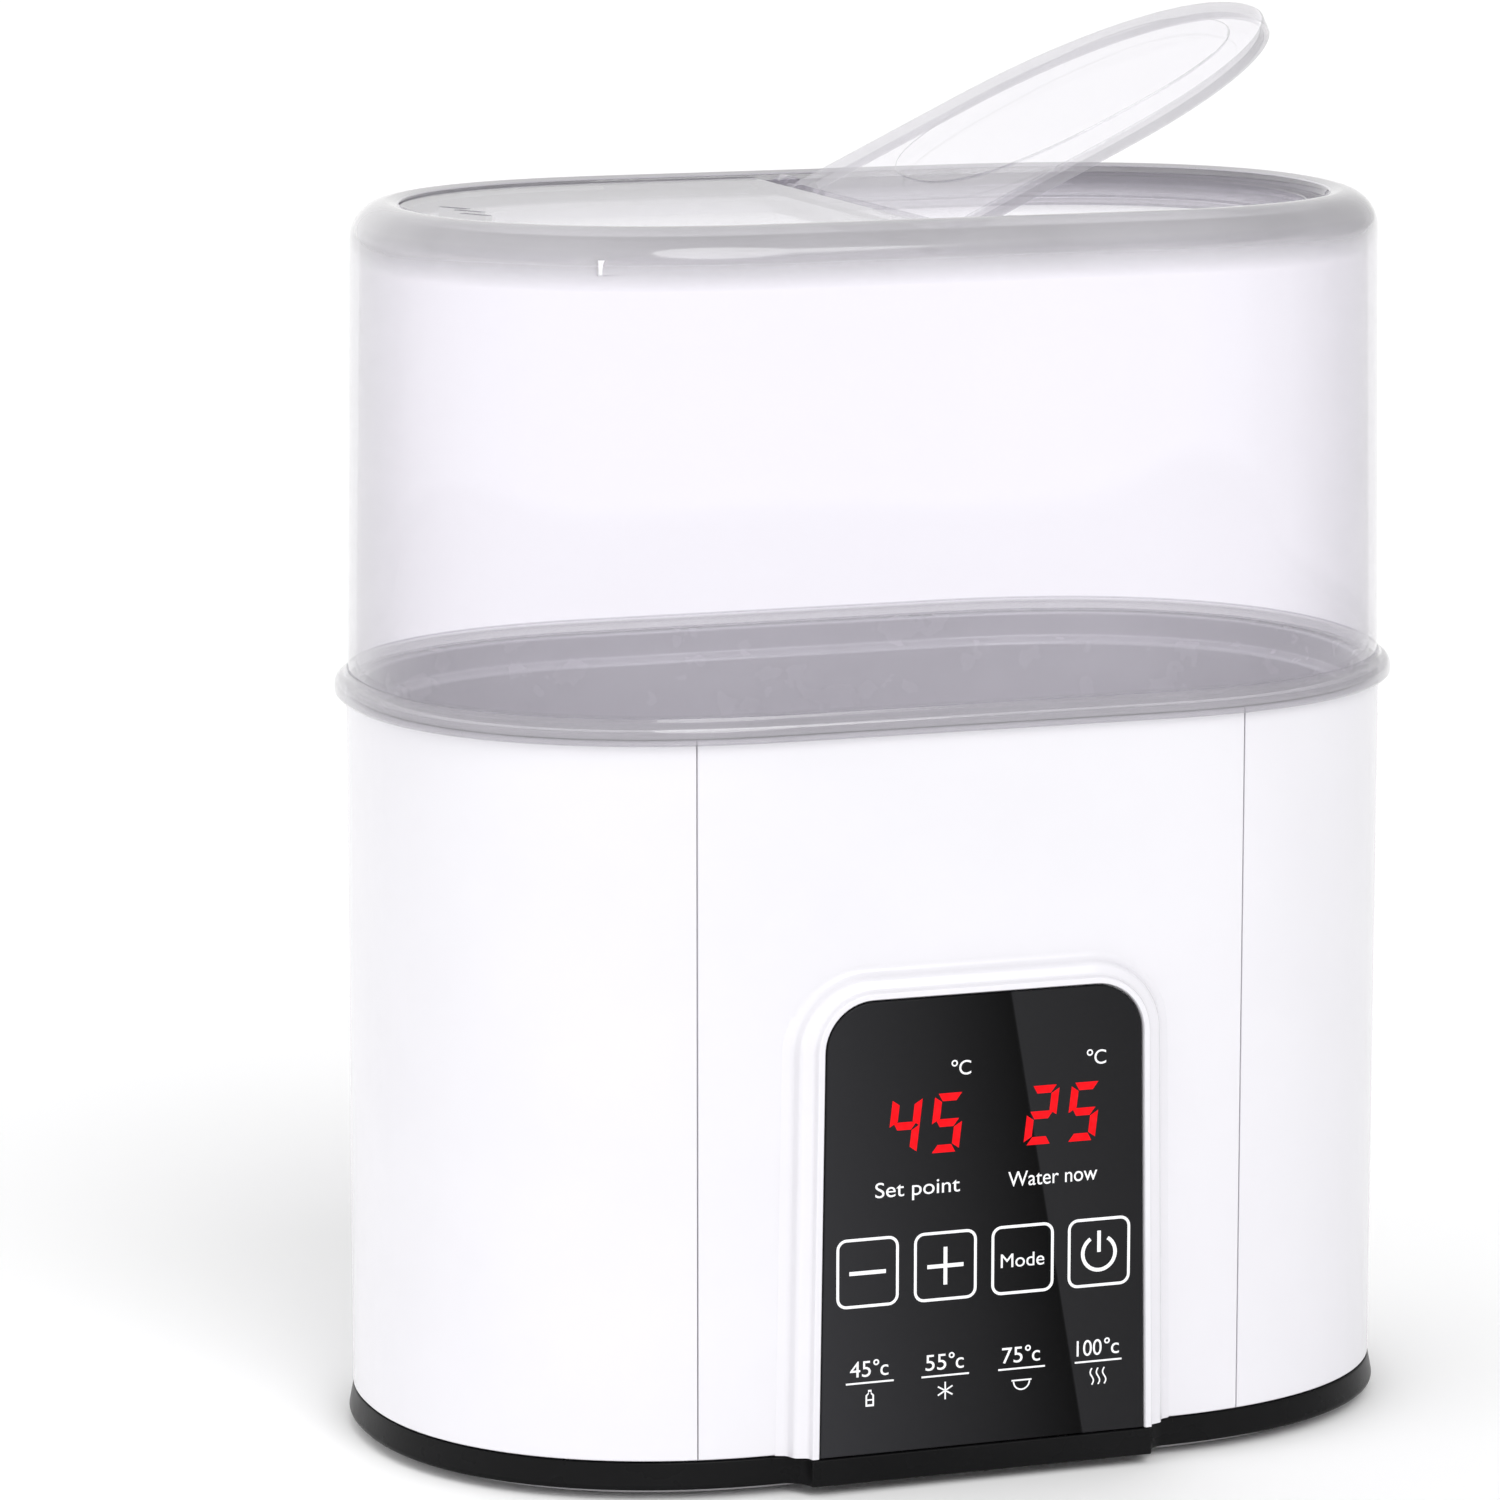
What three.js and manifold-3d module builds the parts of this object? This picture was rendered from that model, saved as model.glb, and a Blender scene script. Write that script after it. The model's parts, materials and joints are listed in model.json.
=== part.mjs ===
// Double bottle warmer: an oval water tank in a white casing, with a touch panel, a heater and its
// electronics below the tank, and a clear hood that lifts off and has a hinged flap in its top.
// Millimetres, +Z up, front towards -Y, origin under the middle, on the surface the appliance stands on.
import * as THREE from "three";
import { mergeVertices } from "three/addons/utils/BufferGeometryUtils.js";
import Module from "manifold-3d";

const wasm = await Module();
wasm.setup();

// ---------------------------------------------------------------- driving dimensions
// Oval plan: a straight run with a superelliptic round end on each side.
const STRAIGHT = 87.6; // length of the straight run, along X
const HALF_DEPTH = 70; // casing's outer face to the middle plane, along Y
const END_REACH = 76.8; // reach of a round end past the straight run
const ROUNDNESS = 2.19; // exponent of the round ends: 2 is an ellipse
const QUARTER_STEPS = 10; // segments in a quarter of the oval

const GAP = 0.3; // working gap between neighbouring pieces
const WALL = 2.2; // casing and hood wall
const SCREW_RADIUS = 1.3;
const SCREW_CLEARANCE = 0.4;

// Heights, from the surface up.
const BASE_BOTTOM = 2.5; // underside of the black base
const BASE_TOP = BASE_BOTTOM + 6.1;
const CASING_BOTTOM = BASE_TOP + GAP;
const CASING_TOP = 170.6;
const FLANGE_BOTTOM = CASING_TOP + GAP;
const FLANGE_TOP = FLANGE_BOTTOM + 1.5;
const HOOD_SEAT = FLANGE_TOP + GAP;
const HOOD_TOP = 281.5;

// Casing seams and control panel.
const SEAM_X = 64.7; // seams between the end casings and the covers
const SEAM_HALF = 0.2;
const PANEL_FRONT = -76.1; // front plane of the panel surround
const PANEL_HALF = 39.9; // half width of the surround's flat rim, at mid height
const PANEL_SPLAY = 0.7; // what the panel gains on each side at its foot, and loses at its top
const PANEL_TOP = 113.2;
const PANEL_CORNER = 13;
const FLARE = 6.7; // how far the surround sweeps out to meet the wall
const LENS_HALF = 38;
const LENS_TOP = 111.4;
const LENS_CORNER = 11;
const LENS_THICKNESS = 1.8;
const LENS_BACK = PANEL_FRONT + 0.2 + LENS_THICKNESS;

// Tank, heater and rack.
const TANK_FLOOR = 66; // inner floor
const FLOOR_THICKNESS = 1.8;
const FLOOR_HOLE = -36.4; // growth of the oval hole that the heating plate fills
const PLATE_EDGE = FLOOR_HOLE - GAP;
const PLATE_FLANGE_Z = 60.6; // underside of the heating plate's flange
const RACK_Z = 70; // underside of the rack's plate
const RACK_TOP = RACK_Z + 2;
const SEAT_X = 50; // middle of a bottle seat
const SEAT_RADIUS = 42;

// Hood and flap.
const HOOD_DRAFT = 1.8; // how much narrower the hood is at its top, per side
const RIM_RADIUS = 8.5; // round edge at the hood's top
const DECK_Z = HOOD_TOP - 2.7; // top face of the ring round the deck and of the closed flap
const PLATFORM_Z = HOOD_TOP - 1.1; // top face of the deck's left half
const DECK_THICKNESS = 2;
const RECESS = -18; // growth of the recess that the flap lies in
const LEDGE_EDGE = -23; // growth of the hood's filling opening
const LEDGE_Z = 274.5; // face that the closed flap rests on
const FLAP_EDGE = RECESS - 1;
const HINGE_Z = DECK_Z - 1.2;
const HINGE_PIN = 1.6;
const FLAP_OPEN = THREE.MathUtils.degToRad(25.5); // how far the flap stands open at rest

// Electronics.
const BOARD_Z = 14; // underside of the power board
const BOARD_THICKNESS = 1.6;
const BOARD_TOP = BOARD_Z + BOARD_THICKNESS;
const ON_BOARD = BOARD_TOP + GAP; // where the parts on the board start
const DISPLAY_BOARD_FRONT = -(HALF_DEPTH - WALL) + GAP;
const DISPLAY_BOARD_BACK = DISPLAY_BOARD_FRONT + BOARD_THICKNESS;
const GLAND_Z = 26;

// ---------------------------------------------------------------- materials
function material(color, roughness, metalness = 0, opacity = 1) {
  return new THREE.MeshStandardMaterial({
    color,
    roughness,
    metalness,
    opacity,
    transparent: opacity < 1,
  });
}

const WHITE = material(0xf6f4fa, 0.25);
const BLACK = material(0x1c1c1d, 0.35);
const PLINTH = material(0xb4b2b6, 0.5);
const CLEAR = material(0xdedbe2, 0.08, 0, 0.35);
const TANK_GREY = material(0x8f8d94, 0.3);
const LENS = material(0x111113, 0.06);
const RUBBER = material(0x2a2a2c, 0.85);
const SILICONE = material(0xd9d6d0, 0.6);
const STEEL = material(0xb9bbbf, 0.3, 1);
const ALUMINIUM = material(0xc9cbd0, 0.35, 1);
const CIRCUIT = material(0x1f6b3c, 0.5);
const DISPLAY = material(0x26262a, 0.4);
const RACK_WHITE = material(0xe9e8ec, 0.35);
const COIL = material(0xc98a2b, 0.5);
const RELAY_BLUE = material(0x2c62a8, 0.4);
const SLEEVE_RED = material(0xa8332c, 0.6);
const SLEEVE_BLACK = material(0x242424, 0.6);
const RIBBON_GREY = material(0x9a9aa0, 0.6);

// ---------------------------------------------------------------- shape helpers
// The oval plan grown by `grow` on every side, as points that run anticlockwise from the +X tip.
function oval(grow, steps = QUARTER_STEPS) {
  const power = 2 / ROUNDNESS;
  const quarter = Array.from({ length: steps + 1 }, (_, i) => {
    const turn = (i / steps) * (Math.PI / 2);
    const along = i === steps ? 0 : Math.cos(turn) ** power;
    const across = Math.sin(turn) ** power;
    return new THREE.Vector2(
      STRAIGHT / 2 + (END_REACH + grow) * along,
      (HALF_DEPTH + grow) * across,
    );
  });
  const mirrored = quarter.map((p) => new THREE.Vector2(-p.x, p.y)).reverse();
  const rear = [...quarter, ...mirrored];
  const front = rear.slice(1, -1).map((p) => new THREE.Vector2(-p.x, -p.y));
  return [...rear, ...front];
}

// Turns a closed surface's faces round if they point inwards.
function facingOut(geometry) {
  const flat = geometry.index ? geometry.toNonIndexed() : geometry;
  const place = flat.getAttribute("position");
  const [a, b, c] = [0, 1, 2].map(() => new THREE.Vector3());
  let volume = 0;
  for (let i = 0; i < place.count; i += 3) {
    a.fromBufferAttribute(place, i);
    b.fromBufferAttribute(place, i + 1);
    c.fromBufferAttribute(place, i + 2);
    volume += a.dot(b.cross(c));
  }
  if (volume > 0) return geometry;
  const turned = new THREE.BufferGeometry();
  const swapped = Float32Array.from(place.array);
  for (let i = 0; i < swapped.length; i += 9) {
    for (let k = 0; k < 3; k++) {
      swapped[i + 3 + k] = place.array[i + 6 + k];
      swapped[i + 6 + k] = place.array[i + 3 + k];
    }
  }
  return turned.setAttribute("position", new THREE.BufferAttribute(swapped, 3));
}

// A closed surface through loops of equal length. A ring joins its last loop to its first;
// otherwise a flat cap closes each end.
function skin(loops, ring = false) {
  const count = loops[0].length;
  const points = loops.flat();
  const faces = [];
  const bands = ring ? loops.length : loops.length - 1;
  for (let band = 0; band < bands; band++) {
    const low = band * count;
    const high = ((band + 1) % loops.length) * count;
    for (let i = 0; i < count; i++) {
      const next = (i + 1) % count;
      faces.push(low + i, low + next, high + next);
      faces.push(low + i, high + next, high + i);
    }
  }
  if (!ring) {
    for (const first of [0, (loops.length - 1) * count]) {
      const middle = points.length;
      const loop = points.slice(first, first + count);
      const sum = loop.reduce((total, p) => total.add(p), new THREE.Vector3());
      points.push(sum.divideScalar(count));
      for (let i = 0; i < count; i++) {
        const edge = [first + i, first + ((i + 1) % count)];
        faces.push(middle, ...(first ? edge : edge.reverse()));
      }
    }
  }
  const geometry = new THREE.BufferGeometry().setFromPoints(points);
  geometry.setIndex(faces);
  return facingOut(geometry);
}

// A profile of [grow, z] points carried round the oval.
function sweep(profile, ring = false) {
  const loops = profile.map(([grow, z]) => oval(grow).map((p) => new THREE.Vector3(p.x, p.y, z)));
  return skin(loops, ring);
}

const sweepRing = (profile) => sweep(profile, true);

function block(x0, x1, y0, y1, z0, z1) {
  const box = new THREE.BoxGeometry(x1 - x0, y1 - y0, z1 - z0);
  return box.translate((x0 + x1) / 2, (y0 + y1) / 2, (z0 + z1) / 2);
}

// An upright cylinder.
function post(radius, x, y, z0, z1, sides = 10) {
  const cylinder = new THREE.CylinderGeometry(radius, radius, z1 - z0, sides);
  return cylinder.rotateX(Math.PI / 2).translate(x, y, (z0 + z1) / 2);
}

// Clearance holes for screws at (x, y) places.
function screwBores(places, z0, z1) {
  return places.map(([x, y]) => post(SCREW_RADIUS + SCREW_CLEARANCE, x, y, z0, z1, 8));
}

// A cylinder along Y.
function bar(radius, x, z, y0, y1, sides = 12) {
  const cylinder = new THREE.CylinderGeometry(radius, radius, y1 - y0, sides);
  return cylinder.translate(x, (y0 + y1) / 2, z);
}

// A profile of [radius, height] points turned about the Z axis.
function turned(profile, sides = 20) {
  const points = profile.map(([radius, height]) => new THREE.Vector2(radius, height));
  return facingOut(new THREE.LatheGeometry(points, sides).rotateX(Math.PI / 2));
}

// A round wire, lead or rod along a smooth curve through the points.
function wire(points, radius, steps) {
  const section = new THREE.Shape().absarc(0, 0, radius, 0, 2 * Math.PI);
  const extrudePath = new THREE.CatmullRomCurve3(points.map((p) => new THREE.Vector3(...p)));
  return new THREE.ExtrudeGeometry(section, { extrudePath, steps, curveSegments: 4 });
}

// The control panel's outline seen from the front: a flat foot, sides that splay a little towards
// it, and two round top corners.
function panelOutline(halfWidth, bottom, top, corner, y) {
  const steps = 6;
  const foot = halfWidth + PANEL_SPLAY;
  const points = [new THREE.Vector3(-foot, y, bottom), new THREE.Vector3(foot, y, bottom)];
  for (const side of [1, -1]) {
    const start = side > 0 ? 0 : Math.PI / 2;
    for (let i = 0; i <= steps; i++) {
      const turn = start + (i / steps) * (Math.PI / 2);
      const x = side * (halfWidth - PANEL_SPLAY - corner) + corner * Math.cos(turn);
      points.push(new THREE.Vector3(x, y, top - corner + corner * Math.sin(turn)));
    }
  }
  return points;
}

function solid(geometry) {
  const bare = new THREE.BufferGeometry();
  bare.setAttribute("position", geometry.getAttribute("position"));
  bare.setIndex(geometry.index);
  const merged = mergeVertices(bare, 1e-4);
  const vertProperties = merged.getAttribute("position").array;
  const triVerts = new Uint32Array(merged.index.array);
  return new wasm.Manifold(new wasm.Mesh({ numProp: 3, vertProperties, triVerts }));
}

function geometryOf(manifold) {
  const mesh = manifold.getMesh();
  const geometry = new THREE.BufferGeometry();
  const place = new THREE.BufferAttribute(Float32Array.from(mesh.vertProperties), 3);
  geometry.setAttribute("position", place);
  geometry.setIndex(new THREE.BufferAttribute(Uint32Array.from(mesh.triVerts), 1));
  return geometry;
}

function combine(way, first, others) {
  const result = others.reduce((sum, other) => sum[way](solid(other)), solid(first));
  return geometryOf(result);
}

const join = (first, ...others) => combine("add", first, others);
const cut = (first, ...others) => combine("subtract", first, others);
const common = (first, ...others) => combine("intersect", first, others);

// ---------------------------------------------------------------- scene
const group = new THREE.Group();

function piece(name, geometry, look, parent = group) {
  const mesh = new THREE.Mesh(geometry, look);
  mesh.name = name;
  parent.add(mesh);
  return mesh;
}

// ---------------------------------------------------------------- hood and flap
// Points of a quarter round about (grow, z), from the outward side up to the top, or back down.
function quarterRound(grow, z, radius, steps, down = false) {
  const points = Array.from({ length: steps + 1 }, (_, i) => {
    const turn = (i / steps) * (Math.PI / 2);
    return [grow + radius * Math.cos(turn), z + radius * Math.sin(turn)];
  });
  return down ? points.reverse() : points;
}

function hoodProfile() {
  const roundGrow = -HOOD_DRAFT - RIM_RADIUS;
  const roundZ = HOOD_TOP - RIM_RADIUS;
  const inside = 0.35;
  const stepInner = roundGrow - 0.5;
  const stepOuter = stepInner - WALL;
  const skirtInner = RECESS;
  const skirtOuter = RECESS + DECK_THICKNESS;
  const skirtBottom = LEDGE_Z - DECK_THICKNESS;
  return [
    [-WALL, HOOD_SEAT],
    [inside, HOOD_SEAT],
    [inside, 169.9],
    [0.8, 169.6],
    [1.9, 169.6],
    [2.6, 170.3],
    [2.6, 172.6],
    [2.1, 173.7],
    [0.6, 174.5],
    [-0.02, 175.6],
    ...quarterRound(roundGrow, roundZ, RIM_RADIUS, 5),
    [stepOuter + 0.7, HOOD_TOP - 0.3],
    [stepOuter, DECK_Z + 1.2],
    [stepOuter - 0.5, DECK_Z],
    [skirtInner, DECK_Z],
    [skirtInner, skirtBottom],
    [skirtOuter, skirtBottom],
    [skirtOuter, DECK_Z - DECK_THICKNESS],
    [stepInner, DECK_Z - DECK_THICKNESS],
    ...quarterRound(roundGrow, roundZ, RIM_RADIUS - WALL, 3, true),
  ];
}

// Raised deck over the left half, then a riser down to a strip and a web where the flap is hinged.
function hoodDeck() {
  const deckEnd = -8.2;
  const stripEnd = -2.2;
  const stripTop = DECK_Z - 1.5;
  const stripLow = stripTop - DECK_THICKNESS;
  const [atRim, inside] = [-12.4, RECESS + 0.8];
  const slab = (grow, low, high, x0, x1) =>
    common(sweep([[grow, low], [grow, high]]), block(x0, x1, -90, 90, 200, 300));
  return join(
    slab(atRim, PLATFORM_Z - DECK_THICKNESS, PLATFORM_Z, -200, deckEnd),
    slab(inside, stripLow, PLATFORM_Z, deckEnd - DECK_THICKNESS, deckEnd),
    slab(inside, stripLow, stripTop, deckEnd - 0.4, stripEnd),
    slab(inside, LEDGE_Z - DECK_THICKNESS, stripTop - 0.5, stripEnd - DECK_THICKNESS, stripEnd),
  );
}

// Ledge round the right half that the closed flap rests on.
function hoodLedge() {
  const low = LEDGE_Z - DECK_THICKNESS;
  const rooted = RECESS + 0.8;
  const ring = sweepRing([
    [LEDGE_EDGE, low],
    [rooted, low],
    [rooted, LEDGE_Z],
    [LEDGE_EDGE, LEDGE_Z],
  ]);
  return common(ring, block(-3.5, 200, -90, 90, 200, 300));
}

// The two sockets that hold the flap's pins.
function hingeSockets() {
  const inner = HALF_DEPTH + RECESS + 0.2;
  const outer = inner + 4.6;
  return [-1, 1].map((side) => {
    const [y0, y1] = side > 0 ? [inner, outer] : [-outer, -inner];
    const knuckle = bar(3.2, 0, HINGE_Z, y0, y1);
    return join(knuckle, block(-3.2, 3.2, y0, y1, DECK_Z - DECK_THICKNESS - 3, HINGE_Z));
  });
}

// Three slanted steam slots near the left end of the deck.
function steamSlots() {
  return [-1, 0, 1].map((place) => {
    const slot = new THREE.BoxGeometry(2, 9, 10);
    slot.rotateZ(THREE.MathUtils.degToRad(30));
    return slot.translate(-94.5 - Math.abs(place), place * 8, DECK_Z);
  });
}

function hoodShell() {
  const reach = HALF_DEPTH + RECESS;
  const bores = [-1, 1].map((side) => {
    const [y0, y1] = side > 0 ? [reach - 1, reach + 3.2] : [-reach - 3.2, -reach + 1];
    return bar(HINGE_PIN + 0.4, 0, HINGE_Z, y0, y1);
  });
  const whole = join(sweepRing(hoodProfile()), hoodDeck(), hoodLedge(), ...hingeSockets());
  const drainNotch = block(-84, -77, -60, -20, LEDGE_Z - 3, LEDGE_Z + 0.4);
  return cut(whole, ...bores, ...steamSlots(), drainNotch);
}

// The flap lies level here, with its hinge axis through the origin along Y.
function flapPlate() {
  const top = DECK_Z - HINGE_Z;
  const bottom = top - DECK_THICKNESS;
  const rightOf = (x) => block(x, 200, -90, 90, -50, 50);
  const plate = common(
    sweep([[FLAP_EDGE, bottom], [FLAP_EDGE, top - 0.5], [FLAP_EDGE - 0.6, top]]),
    rightOf(1.2),
  );
  const skirtInner = FLAP_EDGE - 1.6;
  const skirt = common(
    sweepRing([
      [skirtInner, bottom - DECK_THICKNESS],
      [FLAP_EDGE, bottom - DECK_THICKNESS],
      [FLAP_EDGE, bottom + 0.5],
      [skirtInner, bottom + 0.5],
    ]),
    rightOf(6),
  );
  const hinges = [-1, 1].map((side) => {
    const edge = HALF_DEPTH + FLAP_EDGE;
    const [y0, y1] = side > 0 ? [edge - 5, edge + 3.4] : [-edge - 3.4, -edge + 5];
    const [lug0, lug1] = side > 0 ? [y0, edge - 0.2] : [-edge + 0.2, y1];
    return join(bar(HINGE_PIN, 0, 0, y0, y1), block(0, 4, lug0, lug1, bottom, top));
  });
  return join(plate, skirt, raisedPanel(top), ...hinges);
}

// The faint raised oval in the middle of the flap.
function raisedPanel(z) {
  const [middle, reachX, reachY, exponent, steps] = [52.7, 40.2, 36.7, 2.5, 40];
  const loop = (shrink, height) =>
    Array.from({ length: steps }, (_, i) => {
      const turn = (i / steps) * 2 * Math.PI;
      const [c, s] = [Math.cos(turn), Math.sin(turn)];
      const x = middle + (reachX - shrink) * Math.sign(c) * Math.abs(c) ** (2 / exponent);
      const y = (reachY - shrink) * Math.sign(s) * Math.abs(s) ** (2 / exponent);
      return new THREE.Vector3(x, y, height);
    });
  return skin([loop(0, z - 0.4), loop(0, z + 0.1), loop(0.4, z + 0.4)]);
}

piece("hood_shell", hoodShell(), CLEAR);

const flapHinge = new THREE.Group();
flapHinge.position.z = HINGE_Z;
flapHinge.rotation.y = -FLAP_OPEN;
group.add(flapHinge);
piece("hood_flap", flapPlate(), CLEAR, flapHinge);

// ---------------------------------------------------------------- casing
const casingRing = sweepRing([
  [-WALL, CASING_BOTTOM],
  [0, CASING_BOTTOM],
  [0, CASING_TOP],
  [-WALL, CASING_TOP],
]);

// Strip behind a seam, part of a cover, that the neighbouring end casing laps over.
function seamTongue(side, rear) {
  const back = -WALL - 1.6;
  const [low, high] = [CASING_BOTTOM + 7, CASING_TOP - 10];
  const reach = (x0, x1, y0 = rear ? 1 : -90, y1 = rear ? 90 : -1) =>
    block(Math.min(side * x0, side * x1), Math.max(side * x0, side * x1), y0, y1, 0, 200);
  const ringAt = (outer) => sweepRing([[back, low], [outer, low], [outer, high], [back, high]]);
  const root = common(ringAt(-WALL + 0.4), reach(SEAM_X - 7, SEAM_X - SEAM_HALF));
  const lap = common(ringAt(-WALL - GAP), reach(SEAM_X - 1, SEAM_X + 6));
  return join(root, lap);
}

function endCasing(side) {
  const [near, far] = [side * (SEAM_X + SEAM_HALF), side * 200];
  return common(casingRing, block(Math.min(near, far), Math.max(near, far), -90, 90, 0, 200));
}

function coverWall(rear) {
  const inner = SEAM_X - SEAM_HALF;
  const [y0, y1] = rear ? [1, 90] : [-90, -1];
  const wall = common(casingRing, block(-inner, inner, y0, y1, 0, 200));
  return join(wall, seamTongue(-1, rear), seamTongue(1, rear));
}

// The surround's section as [growth, y]: a raised lip, a shoulder, and a foot that meets the wall.
const SURROUND = [
  [0, PANEL_FRONT],
  [0.5, -74.7],
  [1.2, -74.1],
  [2.9, -73.5],
  [3.6, -72.8],
  [4.1, -71.5],
  [4.9, -70.6],
  [FLARE, -HALF_DEPTH],
  [FLARE, -HALF_DEPTH + 1.2],
];

function panelSurround() {
  return skin(
    SURROUND.map(([spread, y]) => {
      const [half, top] = [PANEL_HALF + spread, PANEL_TOP + spread * 0.8];
      return panelOutline(half, CASING_BOTTOM, top, PANEL_CORNER + spread, y);
    }),
  );
}

// A straight-sided plug with the panel's outline, for cutting and for the lens.
function panelPlug(halfWidth, bottom, top, corner, y0, y1) {
  return skin([y0, y1].map((y) => panelOutline(halfWidth, bottom, top, corner, y)));
}

const DISPLAY_SCREWS = [
  [-39.2, 24],
  [39.2, 24],
  [-39.2, 96],
  [39.2, 96],
];

function frontCover() {
  const pocketFloor = LENS_BACK + GAP;
  const pocket = panelPlug(LENS_HALF + GAP, 0, LENS_TOP + GAP, LENS_CORNER + GAP, -90, pocketFloor);
  const window = panelPlug(LENS_HALF - 2.5, 14, LENS_TOP - 2.8, LENS_CORNER - 2, -90, -50);
  const screwHoles = DISPLAY_SCREWS.map(([x, z]) => bar(SCREW_RADIUS + GAP, x, z, -72.2, -60, 8));
  return cut(join(coverWall(false), panelSurround()), pocket, window, ...screwHoles);
}

function rearCover() {
  return cut(coverWall(true), bar(6.4, 0, GLAND_Z, 60, 80, 24));
}

piece("left_end_casing", endCasing(-1), WHITE);
piece("right_end_casing", endCasing(1), WHITE);
piece("front_cover", frontCover(), WHITE);
piece("rear_cover", rearCover(), WHITE);

// ---------------------------------------------------------------- base, feet and screws
const FEET = [
  [-78, -32],
  [78, -32],
  [-78, 32],
  [78, 32],
];
const BASE_SCREWS = [
  [-58, -46],
  [58, -46],
  [-58, 46],
  [58, 46],
];
const BOARD_POSTS = [
  [-50, -28],
  [50, -28],
  [-50, 22],
  [50, 22],
];
const SHIELD_POSTS = [
  [-72, -22],
  [72, -22],
  [-72, 22],
  [72, 22],
];
const TRAY_FLOOR = BASE_BOTTOM + 2.2;
const COVER_BOTTOM = 0.9;
const COVER_TOP = BASE_BOTTOM - GAP;
const SHIELD_Z = 42;

// Ventilation slots through the base, in two rows.
function ventSlots() {
  const slots = [];
  for (const x of [-24, -12, 0, 12, 24]) {
    slots.push(block(x - 1.5, x + 1.5, -16, 10, 0, TRAY_FLOOR + 1));
  }
  return slots;
}

// The base's step out under the control panel.
function basePanelStep() {
  const half = PANEL_HALF + PANEL_SPLAY;
  const reach = half + FLARE + 1;
  const [root, shoulder] = [2 - HALF_DEPTH, -HALF_DEPTH - 0.3];
  const [bendX, bendY] = [half + 0.6, -HALF_DEPTH - 0.6];
  const outline = new THREE.Shape();
  outline.moveTo(-reach, root);
  outline.lineTo(-reach, shoulder);
  outline.quadraticCurveTo(-bendX, bendY, -half, PANEL_FRONT);
  outline.lineTo(half, PANEL_FRONT);
  outline.quadraticCurveTo(bendX, bendY, reach, shoulder);
  outline.lineTo(reach, root);
  const depth = BASE_TOP - BASE_BOTTOM;
  const step = new THREE.ExtrudeGeometry(outline, { depth, bevelEnabled: false, curveSegments: 6 });
  return step.translate(0, 0, BASE_BOTTOM);
}

function baseTray() {
  const ribInner = -WALL - 2.2;
  const ribOuter = -WALL - 0.4;
  const ribTop = BASE_TOP + 5.4;
  const shell = sweep([
    [0.6, BASE_BOTTOM],
    [1, BASE_BOTTOM + 0.6],
    [0, BASE_TOP],
    [ribOuter, BASE_TOP],
    [ribOuter, ribTop],
    [ribInner, ribTop],
    [ribInner, TRAY_FLOOR],
  ]);
  const boardPosts = BOARD_POSTS.map(([x, y]) => post(4, x, y, BASE_BOTTOM + 1, BOARD_Z - GAP));
  const shieldPosts = SHIELD_POSTS.map(([x, y]) =>
    join(post(4.5, x, y, BASE_BOTTOM + 1, SHIELD_Z - GAP), post(2, x, y, SHIELD_Z - 1, SHIELD_Z + 3)),
  );
  const screwPosts = BASE_SCREWS.map(([x, y]) => post(4, x, y, BASE_BOTTOM + 1, 13));
  const whole = join(shell, basePanelStep(), ...boardPosts, ...shieldPosts, ...screwPosts);
  const bores = [...screwBores(BOARD_POSTS, 6, 20), ...screwBores(BASE_SCREWS, 0, 12)];
  return cut(whole, ...bores, ...ventSlots());
}

function bottomCover() {
  const plate = sweep([[-3.4, COVER_BOTTOM], [-3, COVER_BOTTOM + 0.4], [-3, COVER_TOP]]);
  const footHoles = FEET.map(([x, y]) => post(7 + GAP, x, y, 0, 4, 16));
  const bore = SCREW_RADIUS + SCREW_CLEARANCE;
  const sink = [
    [0, 0],
    [3.3, 0],
    [3.3, COVER_BOTTOM + 0.2],
    [bore, COVER_TOP - 0.1],
    [bore, 4],
    [0, 4],
  ];
  const screwHoles = BASE_SCREWS.map(([x, y]) => turned(sink, 8).translate(x, y, 0));
  return cut(plate, ...footHoles, ...screwHoles, ...ventSlots());
}

// Countersunk screw, driven upwards through the bottom cover.
const baseScrew = turned(
  [
    [0, COVER_BOTTOM + 0.1],
    [2.8, COVER_BOTTOM + 0.1],
    [SCREW_RADIUS, COVER_TOP - 0.1],
    [SCREW_RADIUS, 11.5],
    [0, 11.5],
  ],
  8,
);
const rubberFoot = turned([[0, 0], [6.6, 0], [7, 0.4], [7, COVER_TOP], [0, COVER_TOP]], 16);
const panScrew = turned(
  [
    [0, -8],
    [SCREW_RADIUS, -8],
    [SCREW_RADIUS, 0],
    [2.8, 0],
    [2.8, 1],
    [2, 1.7],
    [0, 1.7],
  ],
  8,
);

function placed(mesh, x, y, z = 0) {
  mesh.position.set(x, y, z);
  return mesh;
}

piece("base_tray", baseTray(), BLACK);
piece("bottom_cover", bottomCover(), PLINTH);
FEET.forEach(([x, y], i) => placed(piece(`rubber_foot_${i + 1}`, rubberFoot, RUBBER), x, y));
BASE_SCREWS.forEach(([x, y], i) => placed(piece(`base_screw_${i + 1}`, baseScrew, STEEL), x, y));

// ---------------------------------------------------------------- control panel
const lensFront = LENS_BACK - LENS_THICKNESS;
const lensPlug = panelPlug(LENS_HALF, CASING_BOTTOM, LENS_TOP, LENS_CORNER, lensFront, LENS_BACK);
piece("panel_lens", lensPlug, LENS);

function displayBoard() {
  const board = block(-42, 42, DISPLAY_BOARD_FRONT, DISPLAY_BOARD_BACK, 16, 107);
  return cut(board, ...DISPLAY_SCREWS.map(([x, z]) => bar(SCREW_RADIUS + GAP, x, z, -80, -50, 8)));
}

// A display module stands on the board and reaches to the back of the lens.
function displayModule(x0, x1) {
  return block(x0, x1, LENS_BACK + GAP, DISPLAY_BOARD_FRONT - GAP, 73, 92);
}

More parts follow.
